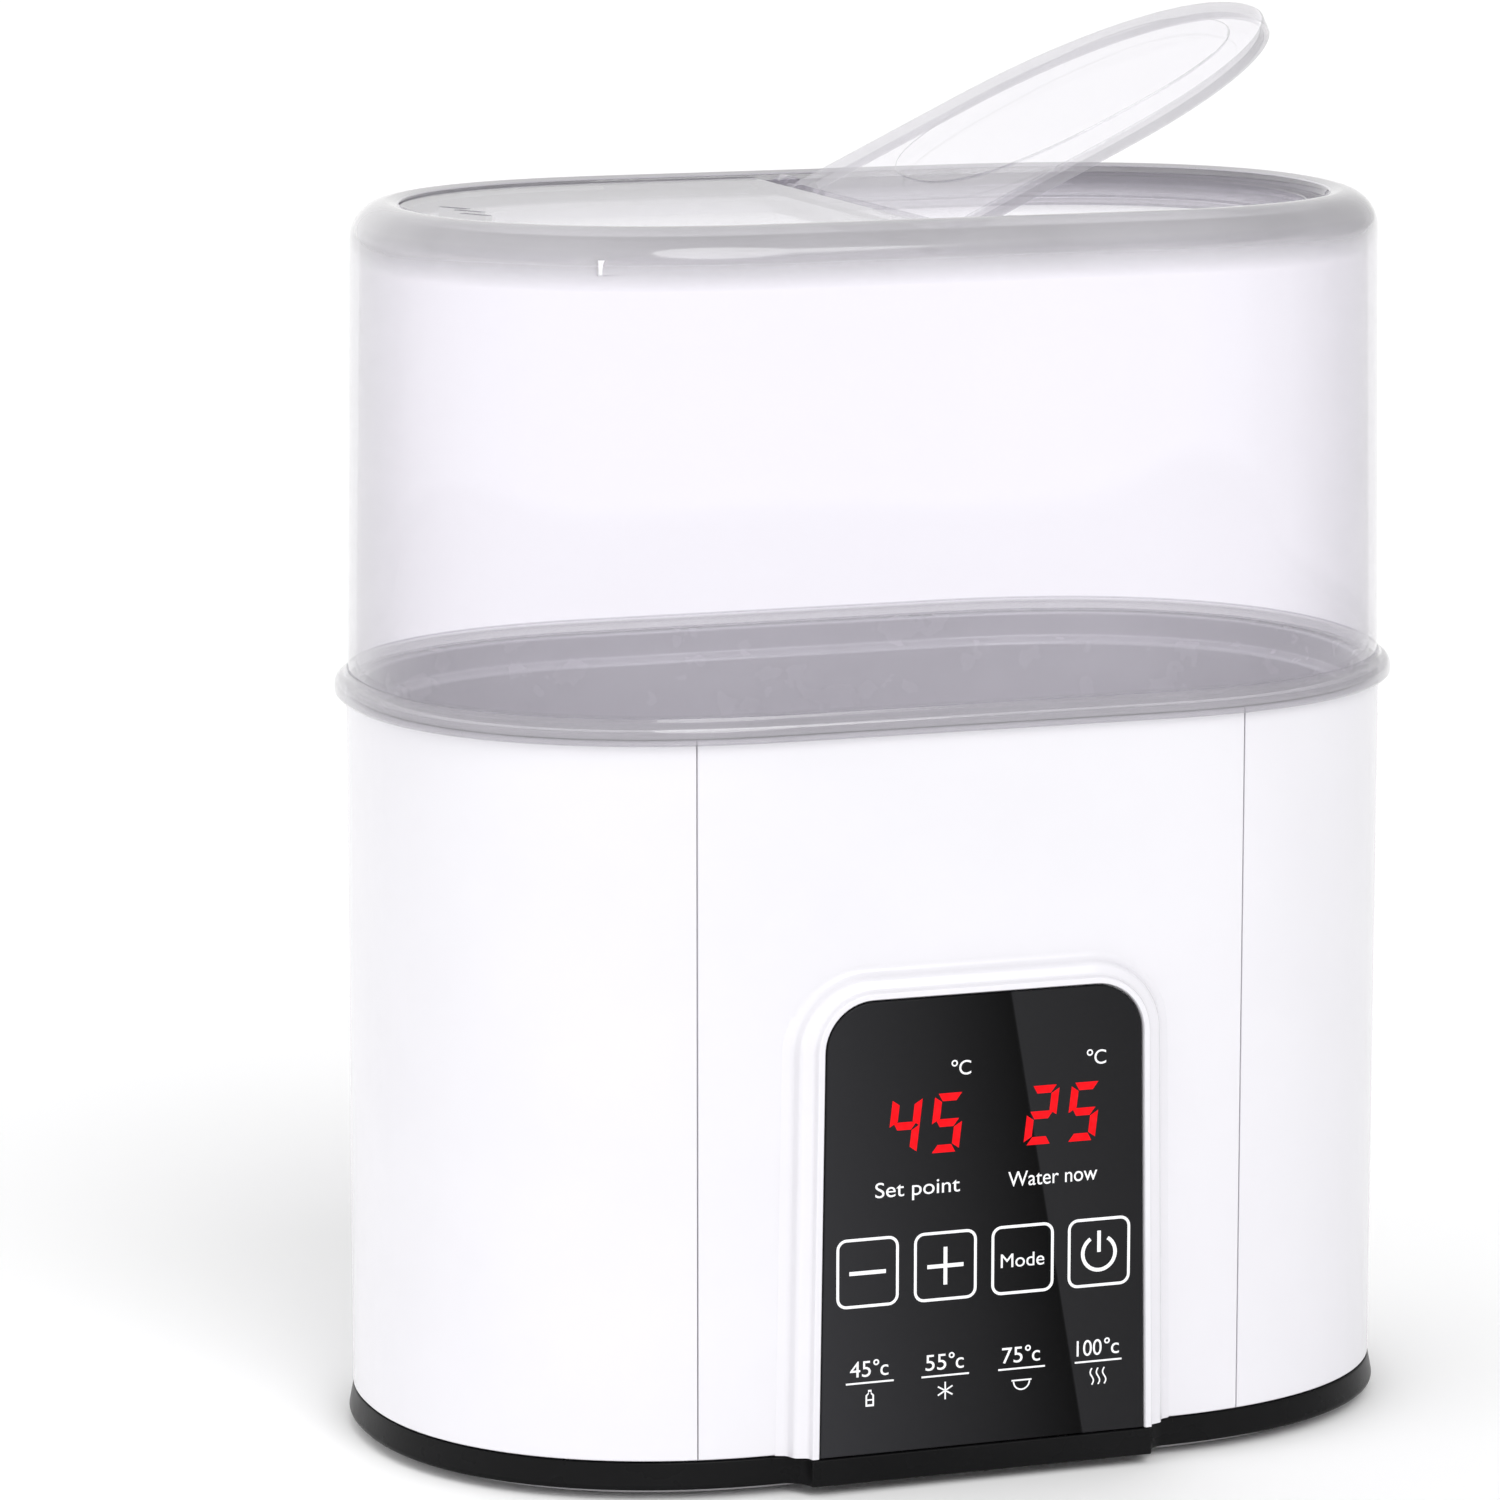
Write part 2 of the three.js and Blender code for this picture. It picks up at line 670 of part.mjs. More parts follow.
piece("display_board", displayBoard(), CIRCUIT);
piece("target_display", displayModule(-25, -2), DISPLAY);
piece("current_display", displayModule(7, 30), DISPLAY);

// Hollow spring that carries a finger's touch from the lens to the board.
const springLength = DISPLAY_BOARD_FRONT - LENS_BACK - 2 * GAP;
const touchSpring = turned(
  [
    [3, 0],
    [3.6, 0],
    [3, springLength / 2],
    [3.6, springLength],
    [3, springLength],
    [2.4, springLength / 2],
    [3, 0],
  ],
  8,
);
const KEYS = { minus: -26.9, plus: -8.4, function: 10, power: 28.4 };
for (const [key, x] of Object.entries(KEYS)) {
  const spring = piece(`touch_spring_${key}`, touchSpring, STEEL);
  spring.position.set(x, DISPLAY_BOARD_FRONT - GAP, 50.5);
  spring.rotation.x = Math.PI / 2;
}
DISPLAY_SCREWS.forEach(([x, z], i) => {
  const screw = piece(`display_screw_${i + 1}`, panScrew, STEEL);
  screw.scale.z = 0.75;
  screw.position.set(x, DISPLAY_BOARD_BACK + GAP, z);
  screw.rotation.x = -Math.PI / 2;
});

// ---------------------------------------------------------------- water tank and heater
const CLAMP_SCREWS = [
  [-40, -44],
  [40, -44],
  [-40, 44],
  [40, 44],
];

function waterTank() {
  const mouth = -WALL - 2;
  const outer = -WALL - 0.4;
  const under = TANK_FLOOR - FLOOR_THICKNESS;
  const shell = sweepRing([
    [FLOOR_HOLE, under],
    [-12.5, under],
    [-8.9, under + 3],
    [-5.1, 163.4],
    [outer, 165],
    [outer, FLANGE_BOTTOM],
    [-0.3, FLANGE_BOTTOM],
    [-0.3, FLANGE_TOP],
    [mouth, FLANGE_TOP],
    [mouth, 166.6],
    [-6.8, 165.6],
    [-10.6, TANK_FLOOR + 6],
    [-11.8, TANK_FLOOR + 2],
    [-14.5, TANK_FLOOR],
    [FLOOR_HOLE, TANK_FLOOR],
  ]);
  const bosses = CLAMP_SCREWS.map(([x, y]) => post(3.6, x, y, PLATE_FLANGE_Z, under + 0.6));
  return cut(join(shell, ...bosses), ...screwBores(CLAMP_SCREWS, 50, under - 0.2));
}

function heatingPlate() {
  const skirtInner = PLATE_EDGE - 1.5;
  return sweep([
    [skirtInner, TANK_FLOOR - 2],
    [skirtInner, PLATE_FLANGE_Z],
    [-31, PLATE_FLANGE_Z],
    [-31, PLATE_FLANGE_Z + 1.2],
    [PLATE_EDGE, PLATE_FLANGE_Z + 1.2],
    [PLATE_EDGE, TANK_FLOOR - 0.4],
    [PLATE_EDGE - 0.4, TANK_FLOOR],
  ]);
}

function plateSeal() {
  const [low, high] = [PLATE_FLANGE_Z + 1.45, TANK_FLOOR - FLOOR_THICKNESS - 0.25];
  return sweepRing([[-36, low], [-32, low], [-31.6, (low + high) / 2], [-32, high], [-36, high]]);
}

function clampRing() {
  const [low, high] = [PLATE_FLANGE_Z - GAP - 1.3, PLATE_FLANGE_Z - GAP];
  const ring = sweepRing([[-34, low], [-22, low], [-22, high], [-34, high]]);
  return cut(ring, ...screwBores(CLAMP_SCREWS, 50, 70));
}

// Sheathed heating element: one loop under the plate, open at the rear, with its two ends turned down.
function heatingElement() {
  const [grow, z] = [-50, 60.2];
  const loop = oval(grow, 4);
  const clockwise = [...loop.slice(0, 5).reverse(), ...loop.slice(5).reverse()];
  const run = clockwise.map((p) => [p.x, p.y, z]);
  const rightEnd = [
    [12, 27, 52],
    [13, 26, 56],
    [20, 20.5, z],
  ];
  const leftEnd = rightEnd.map(([x, y, height]) => [-x, y, height]).reverse();
  return wire([...rightEnd, ...run, ...leftEnd], 3.1, 44);
}

function thermostat() {
  return join(post(8, 0, 0, 58.6, 63.7, 20), block(-11, 11, -2.4, 2.4, 57, 59));
}

function sensorBracket() {
  const [x0, x1, low, high] = [21, 39, 57.6, 63.7];
  return join(
    block(x0, x1, -4, 4, low, low + 0.7),
    block(x0, x0 + 0.7, -4, 4, low, high),
    block(x1 - 0.7, x1, -4, 4, low, high),
  );
}

function heatShield() {
  const sheet = block(-82, 82, -36, 36, SHIELD_Z, SHIELD_Z + 0.8);
  const flanges = [-35.6, 35.6].map((y) => block(-82, 82, y - 0.4, y + 0.4, SHIELD_Z, SHIELD_Z + 8));
  const holes = SHIELD_POSTS.map(([x, y]) => post(2 + GAP, x, y, 40, 46, 8));
  const leadSlots = [block(-18, 36, 20, 31, 40, 45), block(22, 36, -33, -24, 40, 45)];
  return cut(join(sheet, ...flanges), ...holes, ...leadSlots);
}

piece("water_tank", waterTank(), TANK_GREY);
piece("heating_plate", heatingPlate(), STEEL);
piece("plate_seal", plateSeal(), SILICONE);
piece("clamp_ring", clampRing(), STEEL);
CLAMP_SCREWS.forEach(([x, y], i) => {
  const screw = placed(piece(`clamp_screw_${i + 1}`, panScrew, STEEL), x, y, PLATE_FLANGE_Z - 1.9);
  screw.rotation.x = Math.PI;
  screw.scale.z = 0.55;
});
piece("heating_element", heatingElement(), STEEL);
piece("thermostat", thermostat(), ALUMINIUM);
piece("sensor_bracket", sensorBracket(), STEEL);
piece("temperature_sensor", bar(2.3, 30, 61.2, -8, 6, 12), ALUMINIUM);
piece("thermal_fuse", bar(2.1, -30, 61.2, -8, 8, 12), ALUMINIUM);
piece("heat_shield", heatShield(), ALUMINIUM);

// ---------------------------------------------------------------- bottle rack
const SEATS = [-SEAT_X, SEAT_X];
const HANDLE_HALF = 1.6; // half of the handle's thickness
const HANDLE_TABS = [-10, 10]; // where the handle is clipped through the rack's plate

// A plate with one perforated seat for each bottle, a low wall round each seat, and short legs.
function bottleRack() {
  const plate = sweep([[-14, RACK_Z], [-13.6, RACK_Z + 0.4], [-13.6, RACK_TOP]]);
  const wallProfile = [
    [SEAT_RADIUS, RACK_TOP - 0.5],
    [SEAT_RADIUS + 2, RACK_TOP - 0.5],
    [SEAT_RADIUS + 2, RACK_TOP + 12],
    [SEAT_RADIUS, RACK_TOP + 12],
    [SEAT_RADIUS, RACK_TOP - 0.5],
  ];
  const walls = SEATS.map((x) => turned(wallProfile, 32).translate(x, 0, 0));
  const legs = [];
  for (const [x, y] of [[92, 16], [30, 46]]) {
    for (const [legX, legY] of [[x, y], [-x, y], [x, -y], [-x, -y]]) {
      legs.push(post(3, legX, legY, TANK_FLOOR + GAP, RACK_Z + 0.5, 8));
    }
  }
  const holes = [];
  for (const seat of SEATS) {
    holes.push(post(5, seat, 0, 60, 80));
    for (let i = 0; i < 6; i++) {
      const turn = (i / 6) * 2 * Math.PI;
      holes.push(post(5, seat + 24 * Math.cos(turn), 24 * Math.sin(turn), 60, 80));
    }
  }
  const slot = HANDLE_HALF + GAP;
  const slots = HANDLE_TABS.map((y) => block(-slot, slot, y - 3.3, y + 3.3, 60, 80));
  return cut(join(plate, ...walls, ...legs), ...holes, ...slots);
}

// Upright handle with a round top and a finger hole; two hooked tabs clip it into the rack.
function rackHandle() {
  const [foot, top, half] = [RACK_TOP + GAP, 140, 16];
  const outline = new THREE.Shape();
  outline.moveTo(-half, foot);
  outline.lineTo(half, foot);
  outline.absarc(4, top - 12, 12, 0, Math.PI / 2);
  outline.absarc(-4, top - 12, 12, Math.PI / 2, Math.PI);
  const grip = new THREE.Path();
  grip.absarc(4, top - 13, 7, -Math.PI / 2, Math.PI / 2);
  grip.absarc(-4, top - 13, 7, Math.PI / 2, (3 * Math.PI) / 2);
  outline.holes.push(grip);
  const depth = 2 * HANDLE_HALF;
  const blade = new THREE.ExtrudeGeometry(outline, { depth, bevelEnabled: false, curveSegments: 6 });
  blade.rotateX(Math.PI / 2).rotateZ(Math.PI / 2).translate(-HANDLE_HALF, 0, 0);
  const tabs = HANDLE_TABS.map((y) => {
    const stem = block(-HANDLE_HALF, HANDLE_HALF, y - 3, y + 3, RACK_Z - 1.5, foot + 1);
    return join(stem, block(-2.6, 2.6, y - 3, y + 3, RACK_Z - 1.5, RACK_Z - GAP));
  });
  return join(blade, ...tabs);
}

piece("bottle_rack", bottleRack(), RACK_WHITE);
piece("rack_handle", rackHandle(), RACK_WHITE);

// ---------------------------------------------------------------- power board
function powerBoard() {
  const board = block(-56, 56, -34, 28, BOARD_Z, BOARD_TOP);
  return cut(board, ...screwBores(BOARD_POSTS, 10, 20));
}

// Bobbin with the core's two legs standing proud of it.
function transformer() {
  const bobbin = block(-42, -14, -18, 4, ON_BOARD, ON_BOARD + 20);
  return join(bobbin, block(-38, -18, -22, 8, ON_BOARD + 3, ON_BOARD + 17));
}

const TERMINAL_TOP = ON_BOARD + 11;

function terminalBlock() {
  const body = block(18, 42, 12, 24, ON_BOARD, TERMINAL_TOP);
  const wells = [22, 30, 38].map((x) => post(2.2, x, 16, TERMINAL_TOP - 4, TERMINAL_TOP + 2, 10));
  return cut(body, ...wells, block(17, 43, 21, 25, TERMINAL_TOP - 5, TERMINAL_TOP + 1));
}

const filterCapacitor = turned([[0, 0], [7.6, 0], [8, 0.6], [8, 21], [7.4, 22], [0, 22]], 14);

piece("power_board", powerBoard(), CIRCUIT);
piece("transformer", transformer(), COIL);
piece("relay", block(-6, 12, -20, -4, ON_BOARD, ON_BOARD + 15.7), RELAY_BLUE);
placed(piece("filter_capacitor", filterCapacitor, SLEEVE_BLACK), 28, -12, ON_BOARD);
piece("terminal_block", terminalBlock(), BLACK);
BOARD_POSTS.forEach(([x, y], i) => {
  placed(piece(`board_screw_${i + 1}`, panScrew, STEEL), x, y, ON_BOARD);
});

// ---------------------------------------------------------------- internal leads and cord gland
// Flat ribbon between the power board and the display board, bent in the YZ plane.
function ribbonCable() {
  const route = new THREE.SplineCurve([
    new THREE.Vector2(DISPLAY_BOARD_BACK + GAP, 26),
    new THREE.Vector2(-58, 24.5),
    new THREE.Vector2(-48, 19.5),
    new THREE.Vector2(-40, 17.2),
    new THREE.Vector2(-30, ON_BOARD + 0.5),
  ]);
  const [steps, half] = [12, 0.4];
  const side = (sign) =>
    Array.from({ length: steps + 1 }, (_, i) => {
      const along = route.getTangent(i / steps);
      const here = route.getPoint(i / steps);
      return new THREE.Vector2(here.x - sign * half * along.y, here.y + sign * half * along.x);
    });
  const strip = new THREE.Shape([...side(1), ...side(-1).reverse()]);
  const ribbon = new THREE.ExtrudeGeometry(strip, { depth: 16, bevelEnabled: false });
  return ribbon.rotateX(Math.PI / 2).rotateZ(Math.PI / 2).translate(-8, 0, 0);
}

// Snap-in gland at the rear: a sleeve with a flange on each side of the wall.
function cordGland() {
  const inner = HALF_DEPTH - WALL - GAP;
  const outer = HALF_DEPTH + GAP;
  const profile = [
    [3.4, inner - 3],
    [8, inner - 3],
    [8, inner],
    [6, inner],
    [6, outer],
    [9, outer],
    [8.4, outer + 1.6],
    [6, outer + 2],
    [5, -PANEL_FRONT],
    [3.4, -PANEL_FRONT],
    [3.4, inner - 3],
  ];
  return turned(profile, 16).rotateX(-Math.PI / 2).translate(0, 0, GLAND_Z);
}

// Leads run from the element's two ends and the sensor down through the heat shield to the power board.
const liveLead = wire(
  [
    [12, 27.2, 50.9],
    [14, 27.5, 46],
    [22, 26.5, 40],
    [28.5, 21, 33],
    [30, 16, TERMINAL_TOP + GAP],
  ],
  1.3,
  20,
);
const neutralLead = wire(
  [
    [-12, 27.2, 50.9],
    [-11, 27.5, 46],
    [-3, 26.5, 38],
    [10, 22, 33],
    [20, 18, 31.5],
    [22, 16, TERMINAL_TOP + GAP],
  ],
  1.3,
  24,
);
const sensorLead = wire(
  [
    [30, -8.5, 61.2],
    [30, -11.5, 60.4],
    [29.5, -18, 51],
    [29, -27, 46],
    [29, -29, 38],
    [29, -29, 28],
    [29, -29, ON_BOARD],
  ],
  1,
  24,
);
piece("heater_lead_live", liveLead, SLEEVE_RED);
piece("heater_lead_neutral", neutralLead, SLEEVE_BLACK);
piece("sensor_lead", sensorLead, SLEEVE_BLACK);
piece("ribbon_cable", ribbonCable(), RIBBON_GREY);
piece("cord_gland", cordGland(), BLACK);

export default group;
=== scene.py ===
"""Looks of the double bottle warmer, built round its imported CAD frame.

Shapes are worked out in millimetres in the frame's own axes: +X to the right, -Y to the front, +Z up.
MM turns them into Blender's metres where a mesh is made.
"""

import json
import math

import bmesh
import bpy
from mathutils import Matrix, Vector


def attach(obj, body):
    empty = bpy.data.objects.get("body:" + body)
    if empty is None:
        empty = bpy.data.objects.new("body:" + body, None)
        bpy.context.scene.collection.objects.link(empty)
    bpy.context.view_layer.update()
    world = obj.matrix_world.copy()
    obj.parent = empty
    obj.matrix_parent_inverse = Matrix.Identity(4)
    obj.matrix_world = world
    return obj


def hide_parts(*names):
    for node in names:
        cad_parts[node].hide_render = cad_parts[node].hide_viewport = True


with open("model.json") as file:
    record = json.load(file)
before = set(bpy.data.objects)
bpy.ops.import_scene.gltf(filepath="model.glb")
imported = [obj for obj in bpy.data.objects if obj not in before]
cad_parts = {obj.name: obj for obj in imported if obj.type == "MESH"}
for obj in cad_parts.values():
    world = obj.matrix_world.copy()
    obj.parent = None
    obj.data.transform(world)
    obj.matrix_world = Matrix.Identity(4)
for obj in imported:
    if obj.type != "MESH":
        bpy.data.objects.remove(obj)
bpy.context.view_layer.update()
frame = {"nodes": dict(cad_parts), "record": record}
MM = 0.001

# ---------------------------------------------------------------- driving dimensions
STRAIGHT = 87.6  # straight run of the oval plan, along X
HALF_DEPTH = 70
END_REACH = 76.8  # reach of a round end past the straight run
ROUNDNESS = 2.19  # exponent of the round ends
QUARTER = 40  # points in a quarter of the oval

WALL = 2.2
BASE_BOTTOM = 2.5
BASE_TOP = 8.6
CASING_BOTTOM = 8.9
CASING_TOP = 170.6
SEAM_X = 64.7
SEAM_HALF = 0.07

PANEL_FRONT = -76.1
PANEL_HALF = 39.9
PANEL_SPLAY = 0.7  # what the panel gains on each side at its foot and loses at its top
PANEL_TOP = 113.2
PANEL_CORNER = 13
FLARE = 6.7
LENS_HALF = 38
LENS_TOP = 111.4
LENS_CORNER = 11
LENS_FRONT = PANEL_FRONT + 0.2
LENS_BACK = LENS_FRONT + 1.8

HOOD_SEAT = 172.7
HOOD_TOP = 281.5
RIM_GROW = -10.3  # growth of the middle of the hood's round rim
RIM_RADIUS = 8.5
DECK_Z = 278.8  # top of the ring round the deck and of the closed flap
PLATFORM_Z = 280.4  # top of the deck's fixed left half
DECK_THICKNESS = 2
RECESS = -18  # growth of the recess that the flap lies in
LEDGE_Z = 274.5  # where the closed flap rests
HINGE_Z = 277.6
FLAP_OPEN = math.radians(25.5)

TANK_FLOOR = 66
RACK_Z = 70
RACK_TOP = 72
SEAT_X = 50
SEAT_RADIUS = 42
GLAND_Z = 26

FEET = [(-78, -32), (78, -32), (-78, 32), (78, 32)]
BASE_SCREWS = [(-58, -46), (58, -46), (-58, 46), (58, 46)]
BOARD_POSTS = [(-50, -28), (50, -28), (-50, 22), (50, 22)]
SHIELD_POSTS = [(-72, -22), (72, -22), (-72, 22), (72, 22)]
CLAMP_SCREWS = [(-40, -44), (40, -44), (-40, 44), (40, 44)]


# ---------------------------------------------------------------- outlines
def oval(grow):
    """The plan grown by `grow` on every side, anticlockwise from the +X tip."""
    power = 2 / ROUNDNESS
    quarter = []
    for i in range(QUARTER + 1):
        turn = i / QUARTER * math.pi / 2
        along = 0 if i == QUARTER else math.cos(turn) ** power
        across = math.sin(turn) ** power
        quarter.append((STRAIGHT / 2 + (END_REACH + grow) * along, (HALF_DEPTH + grow) * across))
    rear = quarter + [(-x, y) for x, y in reversed(quarter)]
    return rear + [(-x, -y) for x, y in rear[1:-1]]


def eased(corners, steps=4):
    """The line through the corners (a, b, ease), each rounded off over `ease` on both sides."""
    points = []
    for i, (a, b, ease) in enumerate(corners):
        here = Vector((a, b))
        if not ease:
            points.append(here)
            continue
        before = Vector(corners[i - 1][:2])
        after = Vector(corners[(i + 1) % len(corners)][:2])
        start = here + (before - here).normalized() * ease
        end = here + (after - here).normalized() * ease
        for k in range(steps + 1):
            t = k / steps
            points.append(start.lerp(here, t).lerp(here.lerp(end, t), t))
    return points


def arc(a, b, radius, first, last, steps):
    """Points of an arc about (a, b), from angle `first` to `last` in degrees."""
    points = []
    for i in range(steps + 1):
        turn = math.radians(first + (last - first) * i / steps)
        points.append(Vector((a + radius * math.cos(turn), b + radius * math.sin(turn))))
    return points


def panel_outline(half, bottom, top, corner):
    """The control panel seen from the front: a flat foot, splayed sides and two round corners."""
    centre = half - PANEL_SPLAY - corner
    foot = half + PANEL_SPLAY
    right = arc(centre, top - corner, corner, 0, 90, 14)
    left = arc(-centre, top - corner, corner, 90, 180, 14)
    return [Vector((-foot, bottom)), Vector((foot, bottom)), *right, *left]


def rounded_box(x0, x1, z0, z1, corner, steps=6):
    """A rectangle with round corners, anticlockwise."""
    return [
        *arc(x1 - corner, z1 - corner, corner, 0, 90, steps),
        *arc(x0 + corner, z1 - corner, corner, 90, 180, steps),
        *arc(x0 + corner, z0 + corner, corner, 180, 270, steps),
        *arc(x1 - corner, z0 + corner, corner, 270, 360, steps),
    ]


# ---------------------------------------------------------------- meshes
def mesh_object(name, vertices, faces):
    mesh = bpy.data.meshes.new(name)
    mesh.from_pydata([Vector(v) * MM for v in vertices], [], faces)
    made = bmesh.new()
    made.from_mesh(mesh)
    bmesh.ops.remove_doubles(made, verts=made.verts, dist=1e-4 * MM)
    bmesh.ops.recalc_face_normals(made, faces=made.faces)
    made.to_mesh(mesh)
    made.free()
    obj = bpy.data.objects.new(name, mesh)
    bpy.context.collection.objects.link(obj)
    return obj


def skin(name, loops, ring=False):
    """A closed surface through loops of equal length. A ring joins its last loop to its first."""
    count = len(loops[0])
    faces = []
    for band in range(len(loops) if ring else len(loops) - 1):
        low = band * count
        high = (band + 1) % len(loops) * count
        for i in range(count):
            following = (i + 1) % count
            faces.append((low + i, low + following, high + following, high + i))
    if not ring:
        faces.append(tuple(range(count)))
        faces.append(tuple(range((len(loops) - 1) * count, len(loops) * count)))
    return mesh_object(name, [p for loop in loops for p in loop], faces)


def sweep(name, profile, ring=True):
    """A profile of (grow, z) points carried round the oval."""
    return skin(name, [[(x, y, z) for x, y in oval(grow)] for grow, z in profile], ring)


def upright(name, outline, z0, z1):
    """A prism that stands on an outline of (x, y) points."""
    return skin(name, [[(x, y, z) for x, y in outline] for z in (z0, z1)])


def facing(name, sections):
    """A solid through outlines of (x, z) points, each given with its y."""
    return skin(name, [[(x, y, z) for x, z in outline] for y, outline in sections])


def block(x0, x1, y0, y1, z0, z1):
    return upright("block", [(x0, y0), (x1, y0), (x1, y1), (x0, y1)], z0, z1)


def lathe(name, profile, sides=48, ring=False):
    """A profile of (radius, height) points turned about Z, closed on itself or by flat ends."""
    loops = []
    for radius, height in profile:
        loop = []
        for i in range(sides):
            turn = i / sides * 2 * math.pi
            loop.append((radius * math.cos(turn), radius * math.sin(turn), height))
        loops.append(loop)
    return skin(name, loops, ring)


def post(radius, x, y, z0, z1, sides=40):
    return move(lathe("post", [(radius, z0), (radius, z1)], sides), x, y)


def transform(obj, matrix):
    """Moves the mesh itself by a matrix whose lengths are millimetres."""
    matrix = matrix.copy()
    matrix.translation *= MM
    obj.data.transform(matrix)
    return obj


def move(obj, x=0, y=0, z=0):
    return transform(obj, Matrix.Translation((x, y, z)))


def turn_to_y(obj):
    """Turns a solid's Z axis to +Y."""
    return transform(obj, Matrix.Rotation(-math.pi / 2, 4, "X"))


def bar(radius, x, z, y0, y1, sides=40):
    """A cylinder along Y."""
    cylinder = turn_to_y(post(radius, 0, 0, y0, y1, sides))
    return move(cylinder, x, 0, z)


def settle(obj):
    """Applies an object's modifiers to its mesh."""
    graph = bpy.context.evaluated_depsgraph_get()
    mesh = bpy.data.meshes.new_from_object(obj.evaluated_get(graph))
    obj.modifiers.clear()
    obj.data = mesh
    return obj


def combine(operation, first, others):
    for other in others:
        modifier = first.modifiers.new("Boolean", "BOOLEAN")
        modifier.operation = operation
        modifier.solver = "MANIFOLD"
        modifier.object = other
    settle(first)
    for other in others:
        bpy.data.objects.remove(other)
    return first


def join(first, *others):
    return combine("UNION", first, others)


def cut(first, *others):
    return combine("DIFFERENCE", first, others)


def common(first, *others):
    return combine("INTERSECT", first, others)


def bevel(obj, width, segments=3, angle=40):
    modifier = obj.modifiers.new("Bevel", "BEVEL")
    modifier.width = width * MM
    modifier.segments = segments
    modifier.limit_method = "ANGLE"
    modifier.angle_limit = math.radians(angle)
    return settle(obj)


def finish(obj, name, body, look, slot, *replaced, angle=32):
    """Smooth shading, finish and body of a piece that is done; `slot` is not used."""
    obj.name = name
    obj.data.name = name
    obj.data.materials.clear()
    obj.data.materials.append(look)
    obj.data.shade_smooth()
    obj.data.set_sharp_from_angle(angle=math.radians(angle))
    normals = obj.modifiers.new("Normals", "WEIGHTED_NORMAL")
    normals.keep_sharp = True
    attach(obj, body)
    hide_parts(*replaced)
    return obj


# ---------------------------------------------------------------- materials
class Nodes:
    """Builds one material's nodes."""

    def __init__(self, name):
        self.material = bpy.data.materials.new(name)
        self.material.use_nodes = True
        self.tree = self.material.node_tree
        self.tree.nodes.clear()
        self.output = self.add("ShaderNodeOutputMaterial")

    def add(self, kind, **settings):
        node = self.tree.nodes.new(kind)
        for key, value in settings.items():
            setattr(node, key, value)
        return node

    def link(self, source, target):
        self.tree.links.new(source, target)

    def place(self, stretch=(1, 1, 1)):
        """Position on the object in metres, stretched along its axes."""
        coordinates = self.add("ShaderNodeTexCoord")
        mapping = self.add("ShaderNodeMapping")
        mapping.inputs["Scale"].default_value = stretch
        self.link(coordinates.outputs["Object"], mapping.inputs["Vector"])
        return mapping.outputs["Vector"]

    def noise(self, grain, detail=3, stretch=(1, 1, 1)):
        """Noise whose features are `grain` millimetres wide."""
        node = self.add("ShaderNodeTexNoise")
        node.inputs["Scale"].default_value = 1 / (grain * MM)
        node.inputs["Detail"].default_value = detail
        self.link(self.place(stretch), node.inputs["Vector"])
        return node.outputs["Fac"]

    def spread(self, value, low, high, source=(0.3, 0.7)):
        """Maps a value to the range low..high."""
        node = self.add("ShaderNodeMapRange")
        node.inputs["From Min"].default_value = source[0]
        node.inputs["From Max"].default_value = source[1]
        node.inputs["To Min"].default_value = low
        node.inputs["To Max"].default_value = high
        self.link(value, node.inputs["Value"])
        return node.outputs["Result"]

    def power(self, value, exponent):
        node = self.add("ShaderNodeMath", operation="POWER")
        node.inputs[1].default_value = exponent
        self.link(value, node.inputs[0])
        return node.outputs["Value"]

    def blend(self, factor, first, second):
        """Mixes two colours."""
        node = self.add("ShaderNodeMix", data_type="RGBA")
        self.link(factor, node.inputs["Factor"])
        for socket, colour in ((node.inputs[6], first), (node.inputs[7], second)):
            socket.default_value = (*colour, 1)
        return node.outputs[2]

    def bump(self, height, depth, strength=1):
        """Surface relief `depth` millimetres deep."""
        node = self.add("ShaderNodeBump")
        node.inputs["Strength"].default_value = strength
        node.inputs["Distance"].default_value = depth * MM
        self.link(height, node.inputs["Height"])
        return node.outputs["Normal"]

    def principled(self, **values):
        node = self.add("ShaderNodeBsdfPrincipled")
        for key, value in values.items():
            node.inputs[key.replace("_", " ")].default_value = value
        return node


def plastic(name, first, second, rough, grain=2.5, relief=0.01, patch=30, **extra):
    """Moulded plastic: two close tones in broad patches, uneven gloss and a fine relief."""
    nodes = Nodes(name)
    shader = nodes.principled(**extra)
    tone = nodes.spread(nodes.noise(patch), 0, 1)
    nodes.link(nodes.blend(tone, first, second), shader.inputs["Base Color"])
    gloss = nodes.spread(nodes.noise(patch / 3), *rough)
    nodes.link(gloss, shader.inputs["Roughness"])
    nodes.link(nodes.bump(nodes.noise(grain), relief), shader.inputs["Normal"])
    nodes.link(shader.outputs["BSDF"], nodes.output.inputs["Surface"])
    return nodes.material


def metal(name, first, second, rough, stretch=(1, 12, 1)):
    """Brushed or drawn metal: fine streaks along one axis."""
    nodes = Nodes(name)
    shader = nodes.principled(Metallic=1.0)
    streaks = nodes.noise(0.8, 4, stretch)
    tone = nodes.spread(streaks, 0, 1)
    nodes.link(nodes.blend(tone, first, second), shader.inputs["Base Color"])
    nodes.link(nodes.spread(streaks, *rough), shader.inputs["Roughness"])
    nodes.link(nodes.bump(streaks, 0.01), shader.inputs["Normal"])
    nodes.link(shader.outputs["BSDF"], nodes.output.inputs["Surface"])
    return nodes.material


